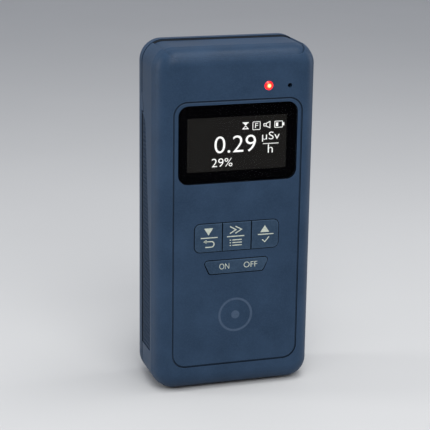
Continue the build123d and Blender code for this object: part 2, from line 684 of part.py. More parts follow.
# ---- keys ----------------------------------------------------------------------------------------
def key_cap(x, width, outer_side):
    """One key: a low crowned cap, a flange that keeps it in the case, and a stem for its switch."""
    front, back = FACE - KEY_PROUD, FLANGE_FRONT + KEY_FLANGE
    row = slab(rounded(KEY_ROW_WIDTH, KEY_HEIGHT, KEY_CORNER, 0, KEY_Z), front, back)
    cap = row & slab(Pos(x, KEY_Z) * Rectangle(width, KEY_HEIGHT), front, back)
    cap = fillet(edges_at_depth(cap, front), KEY_EDGE_RADIUS)
    low_x = x - width / 2 - (KEY_FLANGE_REACH if outer_side < 0 else 0)
    high_x = x + width / 2 + (KEY_FLANGE_REACH if outer_side > 0 else 0)
    cap += plate(
        low_x, high_x, FLANGE_FRONT, back,
        KEY_Z - KEY_HEIGHT / 2 - KEY_FLANGE_REACH, KEY_Z + KEY_HEIGHT / 2 + KEY_FLANGE_REACH
    )
    return cap + rod(x, KEY_Z, KEY_STEM_RADIUS, FLANGE_FRONT, PLUNGER_TOP)


def power_rocker():
    """Two-way power key that tips about an upright pin, with a domed foot over each switch."""
    pin_y = rocker_pin_y()
    cap = slab(rocker_outline(0), FACE - ROCKER_PROUD, pin_y)
    cap = fillet(edges_at_depth(cap, FACE - ROCKER_PROUD), KEY_EDGE_RADIUS)
    low, high = ROCKER_Z - ROCKER_HEIGHT / 2, ROCKER_Z + ROCKER_HEIGHT / 2
    cap += upright(0, pin_y, ROCKER_HUB_RADIUS, low, high)
    dome_y = PLUNGER_TOP - ROCKER_FOOT_CLEARANCE - ROCKER_FOOT_RADIUS
    for x in (-ROCKER_FOOT_X, ROCKER_FOOT_X):
        cap += rod(x, ROCKER_Z, ROCKER_FOOT_RADIUS, pin_y - ROCKER_FOOT_ROOT, dome_y)
        cap += Pos(x, dome_y, ROCKER_Z) * Sphere(ROCKER_FOOT_RADIUS)
    return cap - upright(0, pin_y, ROCKER_PIN_RADIUS + ROCKER_PIN_CLEARANCE, low, high)


def rocker_pin():
    reach = ROCKER_HEIGHT / 2 + ROCKER_GAP + ROCKER_LUG_GAP + ROCKER_LUG_LENGTH
    return upright(0, rocker_pin_y(), ROCKER_PIN_RADIUS, ROCKER_Z - reach, ROCKER_Z + reach)


def switch_places():
    places = [(x, KEY_Z) for x, _, _ in KEYS.values()]
    return places + [(way * ROCKER_FOOT_X, ROCKER_Z) for way in (-1, 1)]


def switch_bodies():
    """Five tactile switches on the board, each with a well that its plunger slides in."""
    group = []
    for x, z in switch_places():
        half = SWITCH_SIZE / 2 if z == KEY_Z else ROCKER_HEIGHT / 2
        body = plate(x - half, x + half, SWITCH_TOP, BOARD_FRONT, z - half, z + half)
        well = rod(x, z, PLUNGER_RADIUS + PLUNGER_CLEARANCE, SWITCH_TOP, BOARD_FRONT - SWITCH_FLOOR)
        group.append(body - well)
    return Compound(children=group)


def plunger(x, z):
    """A switch's own button, with room under it to be pushed."""
    bottom = BOARD_FRONT - SWITCH_FLOOR - 2 * KEY_TRAVEL
    return rod(x, z, PLUNGER_RADIUS, PLUNGER_TOP, bottom)


# ---- board and what is on it ---------------------------------------------------------------------
def main_board():
    middle = (BOARD_TOP + BOARD_BOTTOM) / 2
    outline = Pos(0, middle) * Rectangle(2 * BOARD_HALF, BOARD_TOP - BOARD_BOTTOM)
    board = slab(outline, BOARD_FRONT, BOARD_BACK)
    for x, z in CASE_SCREW_PLACES:
        board -= rod(x, z, BOSS_RADIUS + BOARD_BOSS_GAP, BOARD_FRONT, BOARD_BACK)
    for x, z in BOARD_SCREW_PLACES:
        board -= rod(x, z, BOARD_SCREW_RADIUS + SCREW_CLEARANCE, BOARD_FRONT, BOARD_BACK)
    return board


def status_lamp():
    return rod(LAMP_X, LAMP_Z, LAMP_CHIP_RADIUS, BOARD_FRONT - LAMP_CHIP_HEIGHT, BOARD_FRONT)


def light_pipe():
    """Clear rod that brings the lamp's light to the face, domed at its end."""
    pipe = rod(LAMP_X, LAMP_Z, LAMP_RADIUS, FACE, BOARD_FRONT - LAMP_CHIP_HEIGHT - LAMP_CHIP_GAP)
    flange_radius = LAMP_RADIUS + LAMP_FLANGE_REACH
    pipe += rod(LAMP_X, LAMP_Z, flange_radius, FACE_INSIDE, FACE_INSIDE + LAMP_FLANGE_THICKNESS)
    tip = FACE - LAMP_DOME_PROUD
    dome = Pos(LAMP_X, tip + LAMP_DOME_RADIUS, LAMP_Z) * Sphere(LAMP_DOME_RADIUS)
    return pipe + (dome & rod(LAMP_X, LAMP_Z, LAMP_RADIUS, tip, FACE + LAMP_DOME_PROUD))


def buzzer():
    front = BOARD_FRONT - BUZZER_HEIGHT
    body = rod(SOUND_PORT_X, SOUND_PORT_Z, BUZZER_RADIUS, front, BOARD_FRONT)
    return body - rod(SOUND_PORT_X, SOUND_PORT_Z, BUZZER_HOLE_RADIUS, front, BOARD_FRONT - BUZZER_FLOOR)


def buzzer_gasket():
    back = BOARD_FRONT - BUZZER_HEIGHT
    disc = rod(SOUND_PORT_X, SOUND_PORT_Z, BUZZER_RADIUS - GASKET_INSET, FACE_INSIDE, back)
    return disc - rod(SOUND_PORT_X, SOUND_PORT_Z, GASKET_HOLE_RADIUS, FACE_INSIDE, back)


def board_screws():
    head_back = BOARD_BACK + BOARD_SCREW_HEAD_HEIGHT
    tip = BOARD_FRONT - BOARD_SCREW_LENGTH + SCREW_END_GAP
    group = []
    for x, z in BOARD_SCREW_PLACES:
        screw = rod(x, z, BOARD_SCREW_HEAD_RADIUS, BOARD_BACK, head_back)
        screw += rod(x, z, BOARD_SCREW_RADIUS, tip, BOARD_BACK)
        group.append(screw - cross_slot(x, z, head_back, BOARD_SLOT_LENGTH, BOARD_SLOT_DEPTH))
    return Compound(children=group)


def cross_slot(x, z, top, length, depth):
    """A cross recess cut into a screw head from behind."""
    half, thin = length / 2, DRIVE_SLOT_WIDTH / 2
    across = plate(x - half, x + half, top - depth, top, z - thin, z + thin)
    return across + plate(x - thin, x + thin, top - depth, top, z - half, z + half)


def case_screws():
    head_front = BACK - HEAD_SINK
    head_back = head_front + CASE_SCREW_HEAD_HEIGHT
    group = []
    for x, z in CASE_SCREW_PLACES:
        screw = rod(x, z, CASE_SCREW_HEAD_RADIUS, head_front, head_back)
        screw += rod(x, z, CASE_SCREW_RADIUS, SEAM - CASE_SCREW_LENGTH + CASE_SCREW_END_GAP, head_front)
        group.append(screw - cross_slot(x, z, head_back, CASE_SLOT_LENGTH, DRIVE_SLOT_DEPTH))
    return Compound(children=group)


# ---- detector tube -------------------------------------------------------------------------------
def tube_bar(radius, end_inset):
    """A round bar along the tube's axis that stops short of the tube's ends."""
    return upright(TUBE_X, TUBE_Y, radius, TUBE_BOTTOM + end_inset, TUBE_TOP - end_inset)


def tube_glass():
    radius = TUBE_RADIUS - TUBE_CAP_WALL
    return tube_bar(radius, TUBE_CAP_END) - tube_bar(radius - TUBE_GLASS, 2 * TUBE_CAP_END)


def tube_cap(end, way):
    """A metal cup over one end of the tube, with a contact pin. Way is 1 at the top and -1 at the bottom."""
    def span(first, last):
        return sorted((end + way * first, end + way * last))

    cap = upright(TUBE_X, TUBE_Y, TUBE_RADIUS, *span(-TUBE_CAP_LENGTH, 0))
    cap -= upright(TUBE_X, TUBE_Y, TUBE_RADIUS - TUBE_CAP_WALL, *span(-TUBE_CAP_LENGTH, -TUBE_CAP_END))
    return cap + upright(TUBE_X, TUBE_Y, TUBE_PIN_RADIUS, *span(0, TUBE_PIN_LENGTH))


def tube_cathode():
    """Thin metal sleeve inside the glass."""
    outside = TUBE_RADIUS - TUBE_CAP_WALL - TUBE_GLASS
    inside = outside - TUBE_CATHODE_THICKNESS
    return tube_bar(outside, TUBE_CATHODE_INSET) - tube_bar(inside, TUBE_CATHODE_INSET)


def tube_clips():
    """Two spring clips that stand on the board and hug the tube's metal ends."""
    foot, mouth = CLIP_FOOT_WIDTH / 2, CLIP_MOUTH_WIDTH / 2
    group = []
    for z in (TUBE_BOTTOM + TUBE_CAP_LENGTH / 2, TUBE_TOP - TUBE_CAP_LENGTH / 2):
        low, high = z - CLIP_WIDTH / 2, z + CLIP_WIDTH / 2
        clip = upright(TUBE_X, TUBE_Y, TUBE_RADIUS + CLIP_THICKNESS, low, high)
        clip += plate(TUBE_X - foot, TUBE_X + foot, BOARD_BACK, TUBE_Y, low, high)
        clip -= upright(TUBE_X, TUBE_Y, TUBE_RADIUS, low, high)
        clip -= plate(TUBE_X - mouth, TUBE_X + mouth, TUBE_Y, TUBE_Y + TUBE_DIAMETER, low, high)
        group.append(clip)
    return Compound(children=group)


# ---- high voltage supply and logic ---------------------------------------------------------------
def on_board(x, z, width, height, depth, start=0.0):
    """A block on the back of the board, centred on x and on a height above the lowest of the parts."""
    middle = PARTS_LOW + z
    front = BOARD_BACK + start
    return plate(x - width / 2, x + width / 2, front, front + depth, middle - height / 2, middle + height / 2)


def hv_transformer():
    x, z = TRANSFORMER_PLACE
    core = on_board(x, z, TRANSFORMER_WIDTH, TRANSFORMER_HEIGHT, TRANSFORMER_DEPTH)
    slot_depth = TRANSFORMER_DEPTH - 2 * TRANSFORMER_FLANGE
    for way in (-1, 1):
        slot_z = z + way * TRANSFORMER_SLOT_OFFSET
        core -= on_board(x, slot_z, TRANSFORMER_WIDTH, TRANSFORMER_SLOT, slot_depth, TRANSFORMER_FLANGE)
    return core


def hv_capacitors():
    first, z = CAPACITOR_PLACE
    places = [first + CAPACITOR_PITCH * step for step in range(CAPACITOR_COUNT)]
    return Compound(children=[
        rod(x, PARTS_LOW + z, CAPACITOR_RADIUS, BOARD_BACK, BOARD_BACK + CAPACITOR_HEIGHT) for x in places
    ])


def chip(place, size):
    body = on_board(*place, *size)
    return chamfer(body.edges().group_by(Axis.Y)[-1], CHIP_CHAMFER)


def small_parts():
    """Resistors and capacitors in rows beside the controller."""
    first_x, first_z = SMALL_PART_PLACE
    across, up = SMALL_PART_PITCH
    return Compound(children=[
        on_board(first_x + across * column, first_z + up * row, *SMALL_PART_SIZE)
        for row in range(SMALL_PART_ROWS)
        for column in range(SMALL_PART_COLUMNS)
    ])


# ---- battery -------------------------------------------------------------------------------------
def cell(x, nub_up):
    """A cylindrical cell; the left and right ones lie head to tail."""
    low = BAY_BOTTOM + CONTACT_THICKNESS + (SPRING_LENGTH if nub_up else CELL_NUB_HEIGHT)
    body = upright(x, CELL_Y, CELL_DIAMETER / 2, low, low + CELL_LENGTH)
    body = chamfer(body.edges(), CELL_EDGE)
    start = low + CELL_LENGTH if nub_up else low - CELL_NUB_HEIGHT
    return body + upright(x, CELL_Y, CELL_NUB_RADIUS, start, start + CELL_NUB_HEIGHT)


def contact_plate(x_low, x_high, at_top):
    z = BAY_TOP - CONTACT_THICKNESS if at_top else BAY_BOTTOM
    front, back = BAY_FLOOR + CONTACT_FLOOR_GAP, DOOR_INSIDE - CONTACT_DOOR_GAP
    return plate(x_low, x_high, front, back, z, z + CONTACT_THICKNESS)


def contact_spring(x, at_top):
    """Outer form of a conical contact spring."""
    base, tip = SPRING_BASE_RADIUS, SPRING_TIP_RADIUS
    cone = Cone(base, tip, SPRING_LENGTH) - Cone(base - SPRING_WALL, tip - SPRING_WALL, SPRING_LENGTH)
    if at_top:
        z = BAY_TOP - CONTACT_THICKNESS - SPRING_LENGTH / 2
        return Pos(x, CELL_Y, z) * Rot(180, 0, 0) * cone
    return Pos(x, CELL_Y, BAY_BOTTOM + CONTACT_THICKNESS + SPRING_LENGTH / 2) * cone


def make_nodes():
    contact_side = BAY_HALF - CONTACT_SIDE_GAP
    contact_split = CONTACT_SPLIT / 2
    nodes = {
        "front_shell": front_shell(),
        "rear_shell": rear_shell(),
        "battery_door": battery_door(),
        "case_seal": case_seal(),
        "side_grip_left": side_grip(-1),
        "side_grip_right": side_grip(1),
        "window_lens": window_lens(),
        "lens_tape": lens_tape(),
        "display_panel": display_panel(),
        "display_cushion": display_cushion(),
        "display_frame": display_frame(),
        "display_flex": display_flex(),
        "display_socket": display_socket(),
        "power_rocker": power_rocker(),
        "rocker_pin": rocker_pin(),
        "switch_bodies": switch_bodies(),
        "plunger_on": plunger(-ROCKER_FOOT_X, ROCKER_Z),
        "plunger_off": plunger(ROCKER_FOOT_X, ROCKER_Z),
        "main_board": main_board(),
        "status_lamp": status_lamp(),
        "light_pipe": light_pipe(),
        "buzzer": buzzer(),
        "buzzer_gasket": buzzer_gasket(),
        "board_screws": board_screws(),
        "case_screws": case_screws(),
        "tube_glass": tube_glass(),
        "tube_cap_bottom": tube_cap(TUBE_BOTTOM, -1),
        "tube_cap_top": tube_cap(TUBE_TOP, 1),
        "tube_cathode": tube_cathode(),
        "tube_anode": tube_bar(TUBE_ANODE_RADIUS, TUBE_ANODE_INSET),
        "tube_clips": tube_clips(),
        "hv_transformer": hv_transformer(),
        "hv_capacitors": hv_capacitors(),
        "microcontroller": chip(CONTROLLER_PLACE, CONTROLLER_SIZE),
        "clock_crystal": chip(CRYSTAL_PLACE, CRYSTAL_SIZE),
        "small_parts": small_parts(),
        "cell_left": cell(-CELL_X, True),
        "cell_right": cell(CELL_X, False),
        "contact_positive": contact_plate(-contact_side, -contact_split, True),
        "contact_negative": contact_plate(contact_split, contact_side, True),
        "contact_bridge": contact_plate(-contact_side, contact_side, False),
        "spring_left": contact_spring(-CELL_X, False),
        "spring_right": contact_spring(CELL_X, True),
    }
    for name, (x, width, outer_side) in KEYS.items():
        nodes["key_" + name] = key_cap(x, width, outer_side)
        nodes["plunger_" + name] = plunger(x, KEY_Z)
    return nodes


os.makedirs("parts", exist_ok=True)
for name, shape in make_nodes().items():
    export_step(shape, f"parts/{name}.step")
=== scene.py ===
"""Looks of a pocket radiation counter on its fixed frame: finishes, marks, a lit display and small hardware.

Metres, with sizes written in millimetres and turned by MM. X is to the right and Z up as a person reads the
display, and Y runs from the face to the back. The face is at Y = -13 mm and the case stands on Z = 0.
"""

import math

import bmesh
import bpy
from mathutils import Matrix, Vector


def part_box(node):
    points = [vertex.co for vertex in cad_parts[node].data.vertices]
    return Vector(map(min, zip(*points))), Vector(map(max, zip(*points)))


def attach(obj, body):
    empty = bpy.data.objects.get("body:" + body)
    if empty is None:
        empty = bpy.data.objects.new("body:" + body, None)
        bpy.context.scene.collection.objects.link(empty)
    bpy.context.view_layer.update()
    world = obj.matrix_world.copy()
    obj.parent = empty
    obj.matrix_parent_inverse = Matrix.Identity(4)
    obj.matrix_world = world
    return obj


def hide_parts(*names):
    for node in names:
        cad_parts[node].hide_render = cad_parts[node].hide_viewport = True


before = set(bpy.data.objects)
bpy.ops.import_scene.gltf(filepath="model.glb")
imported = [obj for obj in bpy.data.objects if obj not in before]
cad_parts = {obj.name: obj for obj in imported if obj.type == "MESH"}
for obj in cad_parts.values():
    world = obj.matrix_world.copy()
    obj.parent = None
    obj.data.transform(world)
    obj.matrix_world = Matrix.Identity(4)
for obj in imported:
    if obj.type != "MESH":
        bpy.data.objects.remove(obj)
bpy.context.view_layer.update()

MM = 0.001
FACE_Y = -13.0
LENS_BACK_Y = -11.9
KEY_FACE_Y = -13.35
ROCKER_FACE_Y = -13.3
BACK_Y = 13.0
INK = 0.03  # how thick a printed mark is
LAMP_X = 10.48
LAMP_Z = 107.8
LAMP_RADIUS = 1.5
CASE_SCREW_X = 23.2
CASE_SCREW_SEAT_Y = 10.4
CASE_SCREW_ZS = (7.5, 114.0)
BOARD_BACK_Y = -2.4
BOARD_SCREW_HEAD_RADIUS = 1.6
EMBLEM_Z = 27.2
EMBLEM_RADIUS = 6.2
EMBLEM_INNER_RADIUS = 5.4
EMBLEM_DOT_RADIUS = 1.5
GRIP_SIDE_X = 28.3
GRIP_LOW_Z = 14.6
GRIP_REAR_Y = 5.3
GRIP_WAIST_Z = 40.0
GRIP_TIP_Z = 94.1
GRIP_FRONT_Y = -4.5
GRIP_LEAN = 6.5  # how far the grip's front edge moves back from its waist to its tip
GRIP_ROWS = 56
LETTER_THINNING = -0.007
PICTURE = (-17.65, 17.55, 78.9, 97.5)  # the lit field's sides, foot and top

# ---- nodes ------------------------------------------------------------------------------------------


def tint(red, green, blue):
    """A colour given in 0 to 255 display values, as the linear values that shaders take."""
    def linear(value):
        share = value / 255
        return share / 12.92 if share <= 0.04045 else ((share + 0.055) / 1.055) ** 2.4

    return linear(red), linear(green), linear(blue), 1.0


def add_node(tree, kind, inputs=None, **settings):
    """A new node. An input's value is a number, a colour, or another node's output to wire in."""
    node = tree.nodes.new(kind)
    for setting, value in settings.items():
        setattr(node, setting, value)
    for socket, value in (inputs or {}).items():
        if isinstance(value, bpy.types.NodeSocket):
            tree.links.new(value, node.inputs[socket])
        else:
            node.inputs[socket].default_value = value
    return node


def calc(tree, operation, first, second=0.0):
    return add_node(tree, "ShaderNodeMath", {0: first, 1: second}, operation=operation).outputs[0]


def rescale(tree, value, start, end, low, high):
    """Value from start to end, turned into low to high and held there."""
    inputs = {"Value": value, "From Min": start, "From Max": end, "To Min": low, "To Max": high}
    return add_node(tree, "ShaderNodeMapRange", inputs).outputs["Result"]


def mix_colour(tree, share, first, second):
    inputs = {"Factor": share, 6: first, 7: second}
    return add_node(tree, "ShaderNodeMix", inputs, data_type="RGBA").outputs[2]


# ---- finishes ---------------------------------------------------------------------------------------
def new_finish(name, colour, roughness, **sockets):
    """A plain surface to add detail to: its material, node tree and shader."""
    material = bpy.data.materials.new(name)
    material.use_nodes = True
    tree = material.node_tree
    shader = tree.nodes["Principled BSDF"]
    shader.inputs["Base Color"].default_value = colour
    shader.inputs["Roughness"].default_value = roughness
    for socket, value in sockets.items():
        shader.inputs[socket.replace("_", " ")].default_value = value
    return material, tree, shader


def own_place(tree, turn=(0, 0, 0), stretch=(1, 1, 1)):
    """Where on the piece a point lies, turned and stretched for a pattern."""
    place = add_node(tree, "ShaderNodeTexCoord").outputs["Object"]
    return add_node(
        tree, "ShaderNodeMapping", {"Vector": place, "Rotation": turn, "Scale": stretch}
    ).outputs["Vector"]


def grains(tree, place, per_metre, detail=2.0):
    inputs = {"Vector": place, "Scale": per_metre, "Detail": detail, "Roughness": 0.55}
    return add_node(tree, "ShaderNodeTexNoise", inputs).outputs["Fac"]


def relief(tree, shader, height, depth, strength=1.0):
    """Raises and sinks the surface by the pattern, to a depth in millimetres."""
    inputs = {"Height": height, "Distance": depth * MM, "Strength": strength}
    bump = add_node(tree, "ShaderNodeBump", inputs)
    tree.links.new(bump.outputs["Normal"], shader.inputs["Normal"])
    return bump


def worn_and_highlighted_edge(tree, radius):
    """1 on outside edges, paled partly by wear from hands and partly as a painted highlight, and 0 on flat
    surfaces.
    """
    rounded = add_node(tree, "ShaderNodeBevel", {"Radius": radius * MM}, samples=6).outputs["Normal"]
    straight = add_node(tree, "ShaderNodeNewGeometry").outputs["Normal"]
    inputs = {0: rounded, 1: straight}
    match = add_node(tree, "ShaderNodeVectorMath", inputs, operation="DOT_PRODUCT").outputs["Value"]
    return rescale(tree, match, 0.995, 0.86, 0.0, 1.0)


def painted_crevice_shade(tree, reach):
    """1 deep in grooves and gaps, and 0 on open surfaces: the mask for the painted shade laid into crevices.
    """
    around = add_node(tree, "ShaderNodeAmbientOcclusion", {"Distance": reach * MM}, samples=8)
    return rescale(tree, around.outputs["AO"], 0.82, 0.35, 0.0, 1.0)


def moulded_plastic(name, shade, lit, crevice_shade, grain=2100, grain_depth=0.012, roughness=0.46, edge=0.35):
    """Fine spark-textured plastic, a little cloudy, with painted shade in its grooves, and edges paler from
    wear and from a painted highlight.
    """
    material, tree, shader = new_finish(name, shade, roughness, Specular_IOR_Level=0.14)
    place = own_place(tree)
    cloud = grains(tree, place, 70, 4)
    spark = grains(tree, place, grain, 3)
    base = mix_colour(tree, rescale(tree, cloud, 0.32, 0.7, 0.0, 0.3), shade, lit)
    base = mix_colour(tree, rescale(tree, spark, 0.4, 0.75, 0.0, 0.22), base, lit)
    # Edges pale toward the lit tone: partly wear, partly a painted highlight.
    base = mix_colour(tree, calc(tree, "MULTIPLY", worn_and_highlighted_edge(tree, 0.45), edge), base, lit)
    # Painted shade: grooves and gaps are darkened toward the crevice colour.
    base = mix_colour(tree, calc(tree, "MULTIPLY", painted_crevice_shade(tree, 1.0), 0.95), base, crevice_shade)
    tree.links.new(base, shader.inputs["Base Color"])
    rough = rescale(tree, cloud, 0.3, 0.7, roughness - 0.05, roughness + 0.07)
    tree.links.new(rough, shader.inputs["Roughness"])
    relief(tree, shader, spark, grain_depth)
    return material


def knurled_rubber(name, shade, lit, pitch=0.9):
    """Soft grip inlay with a fine slanting weave pressed into it."""
    material, tree, shader = new_finish(name, shade, 0.72, Specular_IOR_Level=0.15)
    heights = []
    for slant in (0.62, -0.62):
        place = own_place(tree, turn=(slant, 0, 0), stretch=(1, 1, 1))
        wave = {"Vector": place, "Scale": 1 / (pitch * MM) / 3.2, "Distortion": 0.6, "Detail": 1.0}
        heights.append(add_node(tree, "ShaderNodeTexWave", wave, bands_direction="Z").outputs["Fac"])
    weave = calc(tree, "MULTIPLY", *heights)
    fine = grains(tree, own_place(tree), 2600, 3)
    base = mix_colour(tree, rescale(tree, weave, 0.1, 0.9, 0.0, 0.75), shade, lit)
    base = mix_colour(tree, rescale(tree, fine, 0.35, 0.7, 0.0, 0.3), base, shade)
    tree.links.new(base, shader.inputs["Base Color"])
    relief(tree, shader, calc(tree, "ADD", weave, calc(tree, "MULTIPLY", fine, 0.3)), 0.07)
    return material


def plain_rubber(name, shade, lit, grain=1500, roughness=0.7):
    material, tree, shader = new_finish(name, shade, roughness, Specular_IOR_Level=0.3)
    fine = grains(tree, own_place(tree), grain, 3)
    base = mix_colour(tree, rescale(tree, fine, 0.35, 0.7, 0.0, 1.0), shade, lit)
    tree.links.new(base, shader.inputs["Base Color"])
    rough = rescale(tree, fine, 0.3, 0.7, roughness - 0.1, roughness + 0.1)
    tree.links.new(rough, shader.inputs["Roughness"])
    relief(tree, shader, fine, 0.02)
    return material


def worked_metal(name, shade, lit, roughness=0.3, along=(1, 1, 1), per_metre=900):
    """Metal with fine tool or rolling marks that run along one direction."""
    material, tree, shader = new_finish(name, shade, roughness, Metallic=1.0)
    marks = grains(tree, own_place(tree, stretch=along), per_metre, 4)
    tarnish = grains(tree, own_place(tree), 240, 3)
    tarnished = mix_colour(tree, rescale(tree, tarnish, 0.35, 0.65, 0.0, 1.0), shade, lit)
    tree.links.new(tarnished, shader.inputs["Base Color"])
    rough = rescale(tree, marks, 0.3, 0.7, roughness - 0.1, roughness + 0.12)
    tree.links.new(rough, shader.inputs["Roughness"])
    relief(tree, shader, marks, 0.01)
    return material


def lens_glass(name):
    """Smoked hard-coated window, seen through almost everywhere, with the lightest of wipe marks."""
    material, tree, shader = new_finish(name, tint(2, 2, 3), 0.25, Specular_IOR_Level=0.2)
    wipes = grains(tree, own_place(tree, turn=(0, 0.5, 0), stretch=(1, 1, 7)), 120, 2)
    tree.links.new(rescale(tree, wipes, 0.35, 0.75, 0.2, 0.32), shader.inputs["Roughness"])
    tree.links.new(rescale(tree, wipes, 0.4, 0.8, 0.08, 0.11), shader.inputs["Alpha"])
    material.surface_render_method = "BLENDED"
    return material


def lamp_plastic(name):
    """Red light pipe: a yellow-white heart where the lamp's light comes straight through, and a red rim."""
    material, tree, shader = new_finish(name, tint(255, 40, 35), 0.25, Specular_IOR_Level=0.5)
    place = add_node(tree, "ShaderNodeTexCoord").outputs["Object"]
    centred = add_node(tree, "ShaderNodeMapping", {
        "Vector": place, "Location": (-LAMP_X * MM, 0, -LAMP_Z * MM), "Scale": (1, 0, 1)
    }).outputs["Vector"]
    far = add_node(tree, "ShaderNodeVectorMath", {0: centred}, operation="LENGTH").outputs["Value"]
    ramp = add_node(tree, "ShaderNodeValToRGB", {"Fac": rescale(tree, far, 0.0, LAMP_RADIUS * MM, 0.0, 1.0)})
    stops = ramp.color_ramp.elements
    stops[0].color, stops[0].position = tint(255, 214, 130), 0.18
    stops[1].color, stops[1].position = tint(176, 6, 14), 1.0
    stops.new(0.4).color = tint(255, 96, 46)
    stops.new(0.6).color = tint(236, 20, 22)
    swirl = grains(tree, own_place(tree), 900, 3)
    tree.links.new(ramp.outputs["Color"], shader.inputs["Emission Color"])
    tree.links.new(rescale(tree, swirl, 0.3, 0.7, 2.7, 3.3), shader.inputs["Emission Strength"])
    tree.links.new(ramp.outputs["Color"], shader.inputs["Base Color"])
    return material


def glowing(name, shade, strength):
    """A lit mark on the display, faintly uneven from dot to dot."""
    material, tree, shader = new_finish(
        name, tint(10, 10, 10), 0.5, Specular_IOR_Level=0.0, Emission_Color=shade
    )
    dots = grains(tree, own_place(tree), 3600, 1)
    level = rescale(tree, dots, 0.3, 0.7, strength * 0.94, strength * 1.04)
    tree.links.new(level, shader.inputs["Emission Strength"])
    return material


def display_field_painted_glow(name):
    """The display's dark field: a grid of unlit dots, with a faint painted glow standing in for the light the
    dark panel gives back.
    """
    material, tree, shader = new_finish(
        name, tint(4, 4, 4), 0.35, Specular_IOR_Level=0.0, Emission_Strength=1.0
    )
    dot = 0.27 * MM
    lattice = add_node(tree, "ShaderNodeTexBrick", {
        "Vector": own_place(tree, turn=(math.pi / 2, 0, 0)),
        "Color1": tint(30, 29, 28), "Color2": tint(33, 32, 30), "Mortar": tint(22, 22, 21),
        "Scale": 1.0, "Brick Width": dot, "Row Height": dot, "Mortar Size": dot * 0.08,
    }, offset=0.0)
    # Painted glow: the unlit field emits a dim grey in place of reflected light.
    tree.links.new(lattice.outputs["Color"], shader.inputs["Emission Color"])
    return material


def ink(name, shade, worn, roughness=0.5, gloss=0.3):
    """Pad-printed ink with pinholes and slightly thin patches."""
    material, tree, shader = new_finish(name, shade, roughness, Specular_IOR_Level=gloss)
    thin = grains(tree, own_place(tree), 1100, 4)
    inked = mix_colour(tree, rescale(tree, thin, 0.5, 0.8, 0.0, 0.8), shade, worn)
    tree.links.new(inked, shader.inputs["Base Color"])
    relief(tree, shader, thin, 0.01)
    return material


def circuit_board(name):
    """Green solder mask over copper tracks, with tinned pads spotted over it."""
    material, tree, shader = new_finish(name, tint(18, 92, 48), 0.32)
    flat = own_place(tree, turn=(math.pi / 2, 0, 0))
    tracks = add_node(tree, "ShaderNodeTexBrick", {
        "Vector": flat, "Color1": (0, 0, 0, 1), "Color2": (0, 0, 0, 1), "Mortar": (1, 1, 1, 1),
        "Scale": 1.0, "Brick Width": 4.6 * MM, "Row Height": 1.5 * MM, "Mortar Size": 0.14 * MM,
    }).outputs["Color"]
    cells = {"Vector": flat, "Scale": 360.0, "Randomness": 0.75}
    pads = add_node(tree, "ShaderNodeTexVoronoi", cells).outputs["Distance"]
    pad = rescale(tree, pads, 0.15, 0.13, 0.0, 1.0)
    base = mix_colour(tree, tracks, tint(15, 78, 42), tint(34, 122, 66))
    base = mix_colour(tree, pad, base, tint(196, 198, 188))
    tree.links.new(base, shader.inputs["Base Color"])
    tree.links.new(pad, shader.inputs["Metallic"])
    relief(tree, shader, calc(tree, "ADD", tracks, pad), 0.04)
    return material


def cell_sleeve(name):
    """A cell's printed sleeve: a dark body with a copper band at one end and bare metal at both ends."""
    material, tree, shader = new_finish(name, tint(40, 40, 44), 0.3, Specular_IOR_Level=0.6)
    place = add_node(tree, "ShaderNodeTexCoord").outputs["Object"]
    height = add_node(tree, "ShaderNodeSeparateXYZ", {"Vector": place}).outputs["Z"]
    ramp = add_node(tree, "ShaderNodeValToRGB", {"Fac": rescale(tree, height, 10 * MM, 59 * MM, 0.0, 1.0)})
    ramp.color_ramp.interpolation = "CONSTANT"
    stops = ramp.color_ramp.elements
    stops[0].color, stops[0].position = tint(196, 196, 190), 0.0
    stops[1].color, stops[1].position = tint(196, 196, 190), 0.945
    bands = ((0.075, tint(34, 35, 39)), (0.66, tint(196, 170, 120)), (0.68, tint(176, 98, 44)))
    for position, shade in bands:
        stops.new(position).color = shade
    scuffs = grains(tree, own_place(tree, stretch=(1, 1, 0.2)), 1400, 4)
    scuffed = mix_colour(
        tree, rescale(tree, scuffs, 0.62, 0.8, 0.0, 0.35), ramp.outputs["Color"], tint(190, 188, 182)
    )
    tree.links.new(scuffed, shader.inputs["Base Color"])
    tree.links.new(rescale(tree, scuffs, 0.3, 0.7, 0.22, 0.42), shader.inputs["Roughness"])
    relief(tree, shader, scuffs, 0.008)
    return material


def thin_glass(name):
    material, tree, shader = new_finish(
        name, tint(214, 226, 222), 0.03, Transmission_Weight=0.92, IOR=1.5
    )
    drawn = grains(tree, own_place(tree, stretch=(1, 1, 0.08)), 700, 3)
    tree.links.new(rescale(tree, drawn, 0.3, 0.7, 0.02, 0.09), shader.inputs["Roughness"])
    relief(tree, shader, drawn, 0.01)
    return material


def pressed_powder(name, shade, lit, per_metre=1300, roughness=0.6):
    """Ferrite, ceramic or foam: a fired or blown body with small pits."""
    material, tree, shader = new_finish(name, shade, roughness)
    pits = add_node(tree, "ShaderNodeTexVoronoi", {
        "Vector": own_place(tree), "Scale": float(per_metre)
    }).outputs["Distance"]
    base = mix_colour(tree, rescale(tree, pits, 0.1, 0.6, 0.0, 1.0), shade, lit)
    tree.links.new(base, shader.inputs["Base Color"])
    relief(tree, shader, pits, 0.03)
    return material


def floor_finish():
    material, tree, shader = new_finish("pale_floor", tint(193, 193, 192), 0.7)
    soft = grains(tree, own_place(tree), 6, 3)
    pale = mix_colour(tree, soft, tint(190, 190, 189), tint(196, 196, 195))
    tree.links.new(pale, shader.inputs["Base Color"])
    return material


# ---- pieces -----------------------------------------------------------------------------------------
def new_piece(name, mesh, body, finish=None):
    piece = bpy.data.objects.new(name, mesh)
    bpy.context.scene.collection.objects.link(piece)
    if finish:
        mesh.materials.clear()
        mesh.materials.append(finish)
    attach(piece, body)
    return piece


def smooth_rounds(mesh, angle=35):
    mesh.polygons.foreach_set("use_smooth", [True] * len(mesh.polygons))
    mesh.set_sharp_from_angle(angle=math.radians(angle))


